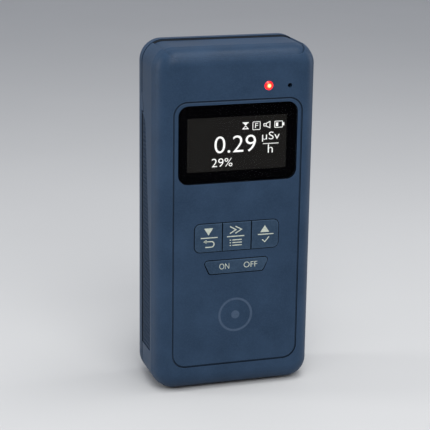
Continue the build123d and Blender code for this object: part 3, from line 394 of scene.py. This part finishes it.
def rounded_outline(low_x, high_x, low_z, high_z, radius, steps=8):
    """Corner points of a rounded rectangle, anticlockwise as seen from the front."""
    points = []
    corners = (
        (high_x - radius, high_z - radius, 0), (low_x + radius, high_z - radius, 90),
        (low_x + radius, low_z + radius, 180), (high_x - radius, low_z + radius, 270),
    )
    for x, z, start in corners:
        for step in range(steps + 1):
            angle = math.radians(start + 90 * step / steps)
            points.append((x + radius * math.cos(angle), z + radius * math.sin(angle)))
    return points


def arc(x, z, radius, start, end, steps=12):
    angles = [math.radians(start + (end - start) * step / steps) for step in range(steps + 1)]
    return [(x + radius * math.cos(angle), z + radius * math.sin(angle)) for angle in angles]


def line(points, width):
    """The outline of a line of even width through these points, with its corners mitred."""
    path = [Vector(point) for point in points]
    left, right = [], []
    for i, point in enumerate(path):
        into = (point - path[i - 1]).normalized() if i else (path[1] - point).normalized()
        out = (path[i + 1] - point).normalized() if i + 1 < len(path) else into
        across = Vector((-(into.y + out.y), into.x + out.x)).normalized()
        reach = width / 2 / max(across.dot(Vector((-into.y, into.x))), 0.5)
        left.append(point + across * reach)
        right.append(point - across * reach)
    return [tuple(point) for point in right + left[::-1]]


def stroke(low_x, high_x, z, width):
    return line([(low_x, z), (high_x, z)], width)


def add_plate(form, outline, front, back, hole=None):
    """Adds a flat closed plate to a bmesh. Its outline and hole lie in X and Z, and have as many points."""
    def rim(points, depth):
        return [form.verts.new((x * MM, depth * MM, z * MM)) for x, z in points]

    rims = [rim(outline, front), rim(outline, back)]
    count = len(outline)
    if hole:
        rims += [rim(hole, back), rim(hole, front)]
        pairs = list(zip(rims, rims[1:] + rims[:1]))
    else:
        form.faces.new(rims[0])
        form.faces.new(rims[1][::-1])
        pairs = [(rims[0], rims[1])]
    for near, far in pairs:
        for i in range(count):
            form.faces.new((near[i], far[i], far[(i + 1) % count], near[(i + 1) % count]))


def add_lettering(form, word, low_x, high_x, low_z, high_z, front, thickness):
    """Adds figures or letters as solid forms that fill this space."""
    curve = bpy.data.curves.new("figures", "FONT")
    curve.body = word
    curve.extrude = 0.5
    curve.resolution_u = 5
    curve.offset = LETTER_THINNING
    holder = bpy.data.objects.new("figures", curve)
    bpy.context.scene.collection.objects.link(holder)
    drawn = bpy.data.meshes.new_from_object(holder.evaluated_get(bpy.context.evaluated_depsgraph_get()))
    bpy.data.objects.remove(holder)
    flat = bmesh.new()
    flat.from_mesh(drawn)
    bmesh.ops.remove_doubles(flat, verts=flat.verts, dist=1e-5)
    xs = [vert.co.x for vert in flat.verts]
    ys = [vert.co.y for vert in flat.verts]
    wide = (high_x - low_x) / (max(xs) - min(xs))
    tall = (high_z - low_z) / (max(ys) - min(ys))
    for vert in flat.verts:
        across, up, out = vert.co
        vert.co = Vector((
            (low_x + (across - min(xs)) * wide) * MM,
            (front + (0.5 - out) * thickness) * MM,
            (low_z + (up - min(ys)) * tall) * MM,
        ))
    settled = bpy.data.meshes.new("figures")
    flat.to_mesh(settled)
    flat.free()
    form.from_mesh(settled)


def printed(name, outlines, front, body, finish, rings=(), words=(), thickness=INK):
    """One piece of flat marks: filled outlines, rings with holes, and words with their places."""
    form = bmesh.new()
    for outline in outlines:
        add_plate(form, outline, front, front + thickness)
    for outline, hole in rings:
        add_plate(form, outline, front, front + thickness, hole)
    bmesh.ops.recalc_face_normals(form, faces=form.faces)
    for word, low_x, high_x, low_z, high_z in words:
        add_lettering(form, word, low_x, high_x, low_z, high_z, front, thickness)
    mesh = bpy.data.meshes.new(name)
    form.to_mesh(mesh)
    form.free()
    return new_piece(name, mesh, body, finish)


# ---- what repeats -----------------------------------------------------------------------------------
def new_growth(name, sizes):
    """A geometry tree that starts from points and has named sizes, in millimetres."""
    tree = bpy.data.node_groups.new(name, "GeometryNodeTree")
    tree.interface.new_socket("Points", in_out="INPUT", socket_type="NodeSocketGeometry")
    for size, value in sizes.items():
        socket = tree.interface.new_socket(size, in_out="INPUT", socket_type="NodeSocketFloat")
        socket.default_value = value * MM
    tree.interface.new_socket("Geometry", in_out="OUTPUT", socket_type="NodeSocketGeometry")
    return tree, tree.nodes.new("NodeGroupInput").outputs


def end_growth(tree, shape, points, turn, finish):
    """Puts the shape on every point, turns it, and gives it its finish."""
    placed = add_node(tree, "GeometryNodeInstanceOnPoints", {
        "Points": points, "Instance": shape, "Rotation": turn
    })
    solid = add_node(tree, "GeometryNodeRealizeInstances", {"Geometry": placed.outputs["Instances"]})
    coated = add_node(tree, "GeometryNodeSetMaterial", {
        "Geometry": solid.outputs["Geometry"], "Material": finish
    })
    out = tree.nodes.new("NodeGroupOutput")
    tree.links.new(coated.outputs["Geometry"], out.inputs["Geometry"])
    return tree


def grow(name, tree, sizes, points, body, smooth=35):
    """Runs a tree on these points and returns what it made as a plain piece."""
    seeds = bpy.data.meshes.new(name + "_seeds")
    seeds.from_pydata([Vector(point) * MM for point in points], [], [])
    holder = bpy.data.objects.new(name + "_seeds", seeds)
    bpy.context.scene.collection.objects.link(holder)
    modifier = holder.modifiers.new("growth", "NODES")
    modifier.node_group = tree
    for size, value in sizes.items():
        modifier[tree.interface.items_tree[size].identifier] = value * MM
    depsgraph = bpy.context.evaluated_depsgraph_get()
    mesh = bpy.data.meshes.new_from_object(holder.evaluated_get(depsgraph), depsgraph=depsgraph)
    holder.modifiers.remove(modifier)
    bpy.data.objects.remove(holder)
    mesh.name = name
    smooth_rounds(mesh, smooth)
    return new_piece(name, mesh, body)


def block(tree, across, deep, tall):
    size = add_node(tree, "ShaderNodeCombineXYZ", {"X": across, "Y": deep, "Z": tall})
    return add_node(tree, "GeometryNodeMeshCube", {"Size": size.outputs["Vector"]}).outputs["Mesh"]


def shifted(tree, shape, x=0.0, y=0.0, z=0.0, turn=(0, 0, 0)):
    place = add_node(tree, "ShaderNodeCombineXYZ", {"X": x, "Y": y, "Z": z}).outputs["Vector"]
    inputs = {"Geometry": shape, "Translation": place, "Rotation": turn}
    return add_node(tree, "GeometryNodeTransform", inputs).outputs["Geometry"]


def joined(tree, *shapes):
    group = add_node(tree, "GeometryNodeJoinGeometry")
    for shape in shapes:
        tree.links.new(shape, group.inputs["Geometry"])
    return group.outputs["Geometry"]


def screw_growth(name, finish, turn):
    """A domed screw with a cross recess in its head and a thread wound round its shank, standing along Z."""
    sizes = {
        "Head Radius": 1.9, "Head Height": 1.5, "Shank Radius": 1.0, "Shank Length": 8.0,
        "Recess Width": 0.5, "Recess Length": 2.3, "Recess Depth": 0.8, "Thread Pitch": 0.6,
    }
    tree, size = new_growth(name, sizes)
    rim_height = calc(tree, "MULTIPLY", size["Head Height"], 0.55)
    dome_height = calc(tree, "SUBTRACT", size["Head Height"], rim_height)
    rim = add_node(tree, "GeometryNodeMeshCylinder", {
        "Vertices": 40, "Radius": size["Head Radius"], "Depth": rim_height
    }).outputs["Mesh"]
    dome = add_node(tree, "GeometryNodeMeshCone", {
        "Vertices": 40, "Radius Bottom": size["Head Radius"],
        "Radius Top": calc(tree, "MULTIPLY", size["Head Radius"], 0.78), "Depth": dome_height,
    }).outputs["Mesh"]
    head = add_node(tree, "GeometryNodeMeshBoolean", operation="UNION", solver="EXACT")
    tree.links.new(shifted(tree, rim, z=calc(tree, "MULTIPLY", rim_height, 0.5)), head.inputs["Mesh 2"])
    tree.links.new(shifted(tree, dome, z=rim_height), head.inputs["Mesh 2"])
    deep = calc(tree, "MULTIPLY", size["Recess Depth"], 2.0)
    cross = joined(
        tree,
        block(tree, size["Recess Length"], size["Recess Width"], deep),
        block(tree, size["Recess Width"], size["Recess Length"], deep),
    )
    recessed = add_node(tree, "GeometryNodeMeshBoolean", operation="DIFFERENCE", solver="EXACT")
    recessed.inputs["Self Intersection"].default_value = True
    tree.links.new(head.outputs["Mesh"], recessed.inputs["Mesh 1"])
    tree.links.new(shifted(tree, cross, z=size["Head Height"]), recessed.inputs["Mesh 2"])
    cut = recessed.outputs["Mesh"]
    shank = add_node(tree, "GeometryNodeMeshCylinder", {
        "Vertices": 24, "Depth": size["Shank Length"],
        "Radius": calc(tree, "MULTIPLY", size["Shank Radius"], 0.86),
    }).outputs["Mesh"]
    half_shank = calc(tree, "MULTIPLY", size["Shank Length"], -0.5)
    thread_length = calc(tree, "MULTIPLY", size["Shank Length"], 0.88)
    turns = calc(tree, "DIVIDE", thread_length, size["Thread Pitch"])
    crest = calc(tree, "MULTIPLY", size["Shank Radius"], 0.86)
    helix = add_node(tree, "GeometryNodeCurveSpiral", {
        "Resolution": 20, "Rotations": turns, "Start Radius": crest, "End Radius": crest,
        "Height": thread_length,
    }).outputs["Curve"]
    section = add_node(tree, "GeometryNodeCurvePrimitiveCircle", {
        "Resolution": 4, "Radius": calc(tree, "MULTIPLY", size["Shank Radius"], 0.14)
    }).outputs["Curve"]
    thread = add_node(tree, "GeometryNodeCurveToMesh", {
        "Curve": helix, "Profile Curve": section, "Fill Caps": True
    }).outputs["Mesh"]
    low = calc(tree, "MULTIPLY", size["Shank Length"], -0.98)
    screw = joined(tree, cut, shifted(tree, shank, z=half_shank), shifted(tree, thread, z=low))
    return end_growth(tree, screw, size["Points"], turn, finish)


def spring_growth(finish, turn, name):
    """A tapered wire spring with evenly spaced turns."""
    sizes = {"Base Radius": 3.2, "Tip Radius": 2.0, "Free Height": 2.8, "Wire Radius": 0.22}
    tree, size = new_growth(name, sizes)
    coil = add_node(tree, "GeometryNodeCurveSpiral", {
        "Resolution": 40, "Rotations": 3.6, "Start Radius": size["Base Radius"],
        "End Radius": size["Tip Radius"], "Height": size["Free Height"],
    }).outputs["Curve"]
    wire = add_node(tree, "GeometryNodeCurvePrimitiveCircle", {
        "Resolution": 10, "Radius": size["Wire Radius"]
    }).outputs["Curve"]
    spring = add_node(tree, "GeometryNodeCurveToMesh", {
        "Curve": coil, "Profile Curve": wire, "Fill Caps": True
    }).outputs["Mesh"]
    return end_growth(tree, shifted(tree, spring, z=size["Wire Radius"]), size["Points"], turn, finish)


def stud_growth(name, finish, turn):
    """A low flat-topped grip stud."""
    tree, size = new_growth(name, {"Foot Radius": 0.42, "Top Radius": 0.24, "Stud Height": 0.14})
    stud = add_node(tree, "GeometryNodeMeshCone", {
        "Vertices": 8, "Radius Bottom": size["Foot Radius"], "Radius Top": size["Top Radius"],
        "Depth": size["Stud Height"],
    }).outputs["Mesh"]
    return end_growth(tree, stud, size["Points"], turn, finish)


def lead_growth(name, finish, turn):
    """A flat chip lead that steps down from the chip's side to its pad."""
    tree, size = new_growth(name, {"Lead Width": 0.3, "Lead Reach": 0.9, "Lead Thickness": 0.15, "Step": 0.6})
    foot = block(tree, size["Lead Reach"], size["Lead Thickness"], size["Lead Width"])
    rise = block(tree, size["Lead Thickness"], size["Step"], size["Lead Width"])
    up = calc(tree, "MULTIPLY", size["Step"], 0.5)
    inward = calc(tree, "MULTIPLY", size["Lead Reach"], -0.45)
    lead = joined(tree, foot, shifted(tree, rise, x=inward, y=up))
    return end_growth(tree, lead, size["Points"], turn, finish)


# ---- the counter's own pieces -----------------------------------------------------------------------
def paint_frame(finishes):
    """Gives every part of the fixed frame the finish that its slot is named for."""
    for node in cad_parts.values():
        for place in node.material_slots:
            place.material = finishes[place.material.name.split(".")[0]]


def build_finishes():
    """Every finish, by the name of the slot it goes in."""
    # The third colour of each moulded plastic is the painted shade laid into its grooves and gaps.
    case_shade, case_lit, case_crevice_shade = tint(32, 51, 72), tint(58, 80, 106), tint(7, 10, 15)
    return {
        "case_blue": moulded_plastic("case_blue_paint", case_shade, case_lit, case_crevice_shade),
        # The keys' edge share is larger, for a stronger painted highlight along their edges.
        "key_blue": moulded_plastic(
            "key_blue_paint", tint(31, 50, 70), tint(74, 96, 118), case_crevice_shade,
            grain=1700, roughness=0.5, edge=0.8,
        ),
        "grip_blue": knurled_rubber("grip_blue_rubber", tint(31, 46, 64), tint(52, 70, 92)),
        "seal_black": plain_rubber("seal_rubber", tint(10, 11, 13), tint(24, 25, 27)),
        "lens_black": lens_glass("window_glass"),
        "display_glass": plain_rubber("display_backing", tint(9, 9, 10), tint(16, 16, 18), 900, 0.3),
        "tape_black": plain_rubber("tape_foam", tint(8, 8, 9), tint(20, 20, 22)),
        "foam_black": pressed_powder("cushion_foam", tint(14, 14, 15), tint(44, 44, 46), 1500, 0.9),
        "frame_black": moulded_plastic("stand_plastic", tint(24, 25, 27), tint(46, 47, 50), tint(8, 8, 9)),
        "flex_amber": plain_rubber("ribbon_film", tint(168, 96, 22), tint(196, 124, 36), 700, 0.35),
        "socket_cream": moulded_plastic(
            "socket_plastic", tint(206, 198, 176), tint(228, 222, 204), tint(90, 84, 70)
        ),
        "switch_black": moulded_plastic("switch_plastic", tint(22, 22, 24), tint(48, 48, 50), tint(8, 8, 8)),
        "plunger_white": moulded_plastic(
            "plunger_plastic", tint(206, 204, 196), tint(228, 226, 220), tint(98, 96, 90)
        ),
        "board_green": circuit_board("board_mask"),
        "lamp_red": plain_rubber("lamp_epoxy", tint(196, 30, 26), tint(226, 60, 48), 900, 0.3),
        "pipe_red": lamp_plastic("light_pipe_red"),
        "buzzer_black": plain_rubber("buzzer_shell", tint(16, 16, 17), tint(38, 38, 40), 1200, 0.5),
        "steel": worked_metal("screw_steel", tint(150, 152, 156), tint(184, 186, 190), 0.34),
        "spring_steel": worked_metal(
            "spring_nickel", tint(172, 170, 162), tint(206, 204, 196), 0.28, (1, 1, 4)
        ),
        "tube_glass": thin_glass("tube_glass_drawn"),
        "tube_metal": worked_metal("tube_steel", tint(146, 146, 142), tint(186, 184, 178), 0.32, (4, 4, 0.3)),
        "ferrite": pressed_powder("ferrite_core", tint(34, 34, 37), tint(58, 58, 60)),
        "capacitor_sleeve": plain_rubber("capacitor_film", tint(20, 28, 60), tint(34, 46, 88), 500, 0.35),
        "chip_black": plain_rubber("chip_epoxy", tint(18, 18, 19), tint(36, 36, 37), 2400, 0.55),
        "crystal_can": worked_metal(
            "crystal_can_nickel", tint(176, 176, 172), tint(208, 208, 204), 0.3, (6, 1, 1)
        ),
        "ceramic_tan": pressed_powder("ceramic_body", tint(160, 126, 88), tint(190, 158, 118), 1800, 0.5),
        "cell_wrap": cell_sleeve("cell_sleeve_print"),
    }


def window_and_picture(lit):
    """The black print behind the window, the display's dark field, and what it shows."""
    low_x, high_x, low_z, high_z = PICTURE
    border = rounded_outline(-20.95, 20.95, 75.05, 101.95, 3.45)
    opening = rounded_outline(low_x, high_x, low_z, high_z, 0.25)
    black = ink("window_print_black", tint(2, 2, 3), tint(5, 5, 6), 0.7, gloss=0.0)
    printed("window_print", [], LENS_BACK_Y - 0.05, "case", black, rings=[(border, opening)])
    field = rounded_outline(-18.05, 18.05, 78.85, 98.15, 0.3)
    film = display_field_painted_glow("display_dark_field")
    printed("display_picture", [field], LENS_BACK_Y + 0.05, "case", film, thickness=0.3)
    y = LENS_BACK_Y + 0.02
    printed("display_reading", [], y, "case", lit, words=[
        ("0.29", -8.05, 6.65, 85.1, 90.95),
        ("29%", -8.95, -1.6, 80.35, 83.3),
    ])
    printed("display_unit", [stroke(9.2, 14.8, 87.55, 0.22)], y, "case", lit, words=[
        ("µSv", 8.85, 15.15, 88.3, 91.6),
        ("h", 11.0, 12.75, 84.3, 87.25),
    ])
    printed("display_hourglass", [
        [(1.85, 95.25), (2.85, 94.15), (3.85, 95.25)],
        line([(2.82, 94.05), (1.95, 93.15), (3.75, 93.15), (2.88, 94.05)], 0.24),
        stroke(1.75, 3.95, 95.2, 0.26), stroke(1.75, 3.95, 93.05, 0.26),
    ], y, "case", lit)
    printed("display_mode_box", [], y, "case", lit, rings=[
        (rounded_outline(5.35, 8.15, 92.5, 95.4, 0.3, 3), rounded_outline(5.55, 7.95, 92.7, 95.2, 0.12, 3))
    ], words=[("F", 6.25, 7.3, 93.15, 94.8)])
    printed("display_speaker", [
        line([(9.35, 94.5), (10.1, 94.5), (11.55, 95.2), (11.55, 93.0), (10.1, 93.7), (9.35, 93.7)], 0.24),
        line([(9.37, 93.7), (9.37, 94.5)], 0.24),
        line([(10.25, 93.65), (10.25, 94.55)], 0.2),
    ], y, "case", lit)
    printed("display_battery", [
        stroke(13.7, 14.5, 94.05, 1.3),
        [(16.1, 93.55), (16.7, 93.55), (16.7, 94.6), (16.1, 94.6)],
    ], y, "case", lit, rings=[
        (
            rounded_outline(13.2, 16.15, 92.9, 95.25, 0.2, 3),
            rounded_outline(13.4, 15.95, 93.1, 95.05, 0.08, 3),
        )
    ])


def key_legends(cream):
    """Printed marks on the three keys and on the power key."""
    y = KEY_FACE_Y - INK / 2
    bar = 0.36
    printed("legend_down", [
        [(-11.8, 59.35), (-10.2, 56.8), (-8.6, 59.35)],
        stroke(-12.95, -6.95, 55.92, bar),
        line([(-11.5, 54.6), (-9.4, 54.6), *arc(-9.2, 53.6, 1.0, 90, -90)[1:], (-11.3, 52.6)], 0.38),
        [(-12.05, 54.6), (-10.9, 55.25), (-10.9, 53.95)],
    ], y, "down_key", cream)
    printed("legend_menu", [
        line([(-2.55, 59.45), (-0.4, 58.2), (-2.55, 56.9)], bar),
        line([(-0.6, 59.45), (1.6, 58.2), (-0.6, 56.9)], bar),
        stroke(-3.6, 2.65, 55.87, bar),
        *[stroke(-1.6, 1.8, 54.55 - 0.95 * row, 0.34) for row in range(3)],
        *[stroke(-2.6, -2.1, 54.55 - 0.95 * row, 0.34) for row in range(3)],
    ], y, "menu_key", cream)
    printed("legend_up", [
        [(8.4, 56.55), (11.7, 56.55), (10.05, 59.0)],
        stroke(7.55, 13.25, 55.8, bar),
        line([(9.15, 53.95), (10.15, 53.05), (11.65, 54.85)], 0.34),
    ], y, "up_key", cream)
    y = ROCKER_FACE_Y - INK / 2
    printed("legend_power", [], y, "power_key", cream, words=[
        ("ON", -6.15, -2.6, 44.25, 46.3),
        ("OFF", 2.65, 7.6, 44.25, 46.3),
    ])


def face_emblem(faint):
    """A plain ring and dot low on the face, where a maker might put a sign of its own."""
    ring = tuple(
        arc(0, EMBLEM_Z, radius, 0, 352.5, 47) for radius in (EMBLEM_RADIUS, EMBLEM_INNER_RADIUS)
    )
    hub = arc(0, EMBLEM_Z, EMBLEM_DOT_RADIUS, 0, 345, 23)
    printed("face_emblem", [hub], FACE_Y - INK / 2, "case", faint, rings=[ring])


def door_marks(faint):
    """An arrow that shows which way the battery door opens."""
    y = BACK_Y - INK / 2
    printed("door_arrow", [
        [(-2.2, 26.6), (2.2, 26.6), (0, 23.8)],
        line([(0, 31.0), (0, 26.6)], 0.9),
    ], y, "door", faint)


def fasteners(finishes):
    """Screws with cross recesses and threads, in the case and on the board."""
    into_back = (-math.pi / 2, 0, 0)
    steel = finishes["steel"]
    places = [(side * CASE_SCREW_X, CASE_SCREW_SEAT_Y, z) for side in (-1, 1) for z in CASE_SCREW_ZS]
    screws = grow("case_screws_threaded", screw_growth("case_screw", steel, into_back), {
        "Head Radius": 1.9, "Head Height": 1.45, "Shank Radius": 1.0, "Shank Length": 12.0
    }, places, "case")
    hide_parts("case_screws")
    low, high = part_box("board_screws")
    across = high.x / MM - BOARD_SCREW_HEAD_RADIUS
    bottom = low.z / MM + BOARD_SCREW_HEAD_RADIUS
    top = high.z / MM - BOARD_SCREW_HEAD_RADIUS
    places = [(side * across, BOARD_BACK_Y, z) for side in (-1, 1) for z in (bottom, top)]
    screws = grow("board_screws_threaded", screw_growth("board_screw", steel, into_back), {
        "Head Radius": BOARD_SCREW_HEAD_RADIUS, "Head Height": 0.95, "Shank Radius": 0.8, "Shank Length": 5.2,
        "Recess Width": 0.4, "Recess Length": 1.9, "Recess Depth": 0.5, "Thread Pitch": 0.5,
    }, places, "case")
    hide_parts("board_screws")


def contact_springs(finishes):
    """Tapered wire springs under one cell and over the other."""
    for node, upside in (("spring_left", 0), ("spring_right", math.pi)):
        low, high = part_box(node)
        start = high.z if upside else low.z
        middle = ((low.x + high.x) / 2 / MM, (low.y + high.y) / 2 / MM, start / MM)
        tree = spring_growth(finishes["spring_steel"], (upside, 0, 0), node + "_wire_growth")
        spring = grow(node + "_wire", tree, {
            "Base Radius": 3.15, "Tip Radius": 1.95, "Free Height": 2.7
        }, [middle], "case", 60)
        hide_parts(node)


def grip_front(z):
    """Where a side grip's slanting front edge lies at this height."""
    share = min(max((z - GRIP_WAIST_Z) / (GRIP_TIP_Z - GRIP_WAIST_Z), 0.0), 1.0)
    return GRIP_FRONT_Y + GRIP_LEAN * share


def grip_studs(finishes):
    """Staggered rows of low studs on both side grips."""
    pitch, inset = 1.45, 0.85
    for side, name in ((-1, "left"), (1, "right")):
        places = []
        for row in range(GRIP_ROWS):
            z = GRIP_LOW_Z + row * pitch
            y = GRIP_REAR_Y - (row % 2) * pitch / 2
            while y > grip_front(z) + inset:
                places.append((side * GRIP_SIDE_X, y, z))
                y -= pitch
        tree = stud_growth("grip_stud_" + name, finishes["grip_blue"], (0, side * math.pi / 2, 0))
        studs = grow("side_grip_studs_" + name, tree, {"Stud Height": 0.16}, places, "case")


def chip_leads(finishes):
    """Leads along all four sides of the controller chip."""
    low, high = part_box("microcontroller")
    middle = (low + high) / 2 / MM
    reach = (high.x - low.x) / 2 / MM + 0.35
    y = low.y / MM + 0.1
    steps = [-3.5 + 0.7 * i for i in range(11)]
    sides = {
        "right": ((0, 0, 0), [(middle.x + reach, y, middle.z + step) for step in steps]),
        "left": ((0, 0, math.pi), [(middle.x - reach, y, middle.z + step) for step in steps]),
        "top": ((0, -math.pi / 2, 0), [(middle.x + step, y, middle.z + reach) for step in steps]),
        "bottom": ((0, math.pi / 2, 0), [(middle.x + step, y, middle.z - reach) for step in steps]),
    }
    for name, (turn, places) in sides.items():
        tree = lead_growth("chip_lead_" + name, finishes["crystal_can"], turn)
        grow("chip_leads_" + name, tree, {"Lead Width": 0.3}, places, "case")


# ---- studio -----------------------------------------------------------------------------------------
def soft_light(name, place, target, width, height, power):
    data = bpy.data.lights.new(name, "AREA")
    data.shape = "RECTANGLE"
    data.size, data.size_y = width, height
    data.energy = power
    lamp = bpy.data.objects.new(name, data)
    lamp.location = place
    lamp.rotation_euler = (Vector(target) - Vector(place)).to_track_quat("-Z", "Y").to_euler()
    bpy.context.scene.collection.objects.link(lamp)


def studio():
    world = bpy.data.worlds.new("studio")
    bpy.context.scene.world = world
    world.use_nodes = True
    backdrop = world.node_tree.nodes["Background"]
    backdrop.inputs["Color"].default_value = (0.86, 0.9, 1.0, 1.0)
    backdrop.inputs["Strength"].default_value = 0.5
    middle = (0, 0, 0.065)
    soft_light("key_light", (-0.05, -0.55, 0.6), middle, 0.5, 0.4, 3.6)
    soft_light("top_light", (0.05, -0.1, 0.62), middle, 0.45, 0.2, 1.8)
    soft_light("left_strip", (-0.55, 0.16, 0.16), middle, 0.12, 0.5, 1.5)
    soft_light("right_strip", (0.52, 0.02, 0.16), middle, 0.12, 0.5, 0.7)
    form = bmesh.new()
    bmesh.ops.create_grid(form, x_segments=8, y_segments=8, size=3.0)
    mesh = bpy.data.meshes.new("floor")
    form.to_mesh(mesh)
    form.free()
    mesh.materials.append(floor_finish())
    floor = bpy.data.objects.new("floor", mesh)
    bpy.context.scene.collection.objects.link(floor)


def aim_camera():
    """Half a metre off, a little above the counter and to its left."""
    heading, dip, lean = 0.3003, 0.28222, 0.013655
    data = bpy.data.cameras.new("camera")
    data.sensor_width = 36.0
    data.lens = 126.48
    camera = bpy.data.objects.new("camera", data)
    bpy.context.scene.collection.objects.link(camera)
    camera.matrix_world = (
        Matrix.Translation((-0.15409, -0.48513, 0.20716))
        @ Matrix.Rotation(-heading, 4, "Z")
        @ Matrix.Rotation(math.pi / 2 - dip, 4, "X")
        @ Matrix.Rotation(lean, 4, "Z")
    )
    bpy.context.scene.camera = camera


def main():
    finishes = build_finishes()
    paint_frame(finishes)
    window_and_picture(glowing("display_lit_white", tint(240, 240, 238), 1.5))
    key_legends(ink("legend_cream", tint(186, 192, 178), tint(140, 148, 140)))
    faint = ink("emblem_faint_grey", tint(58, 76, 98), tint(44, 62, 84))
    face_emblem(faint)
    door_marks(faint)
    fasteners(finishes)
    contact_springs(finishes)
    grip_studs(finishes)
    chip_leads(finishes)
    studio()
    aim_camera()
    bpy.context.scene.view_settings.view_transform = "Standard"


main()
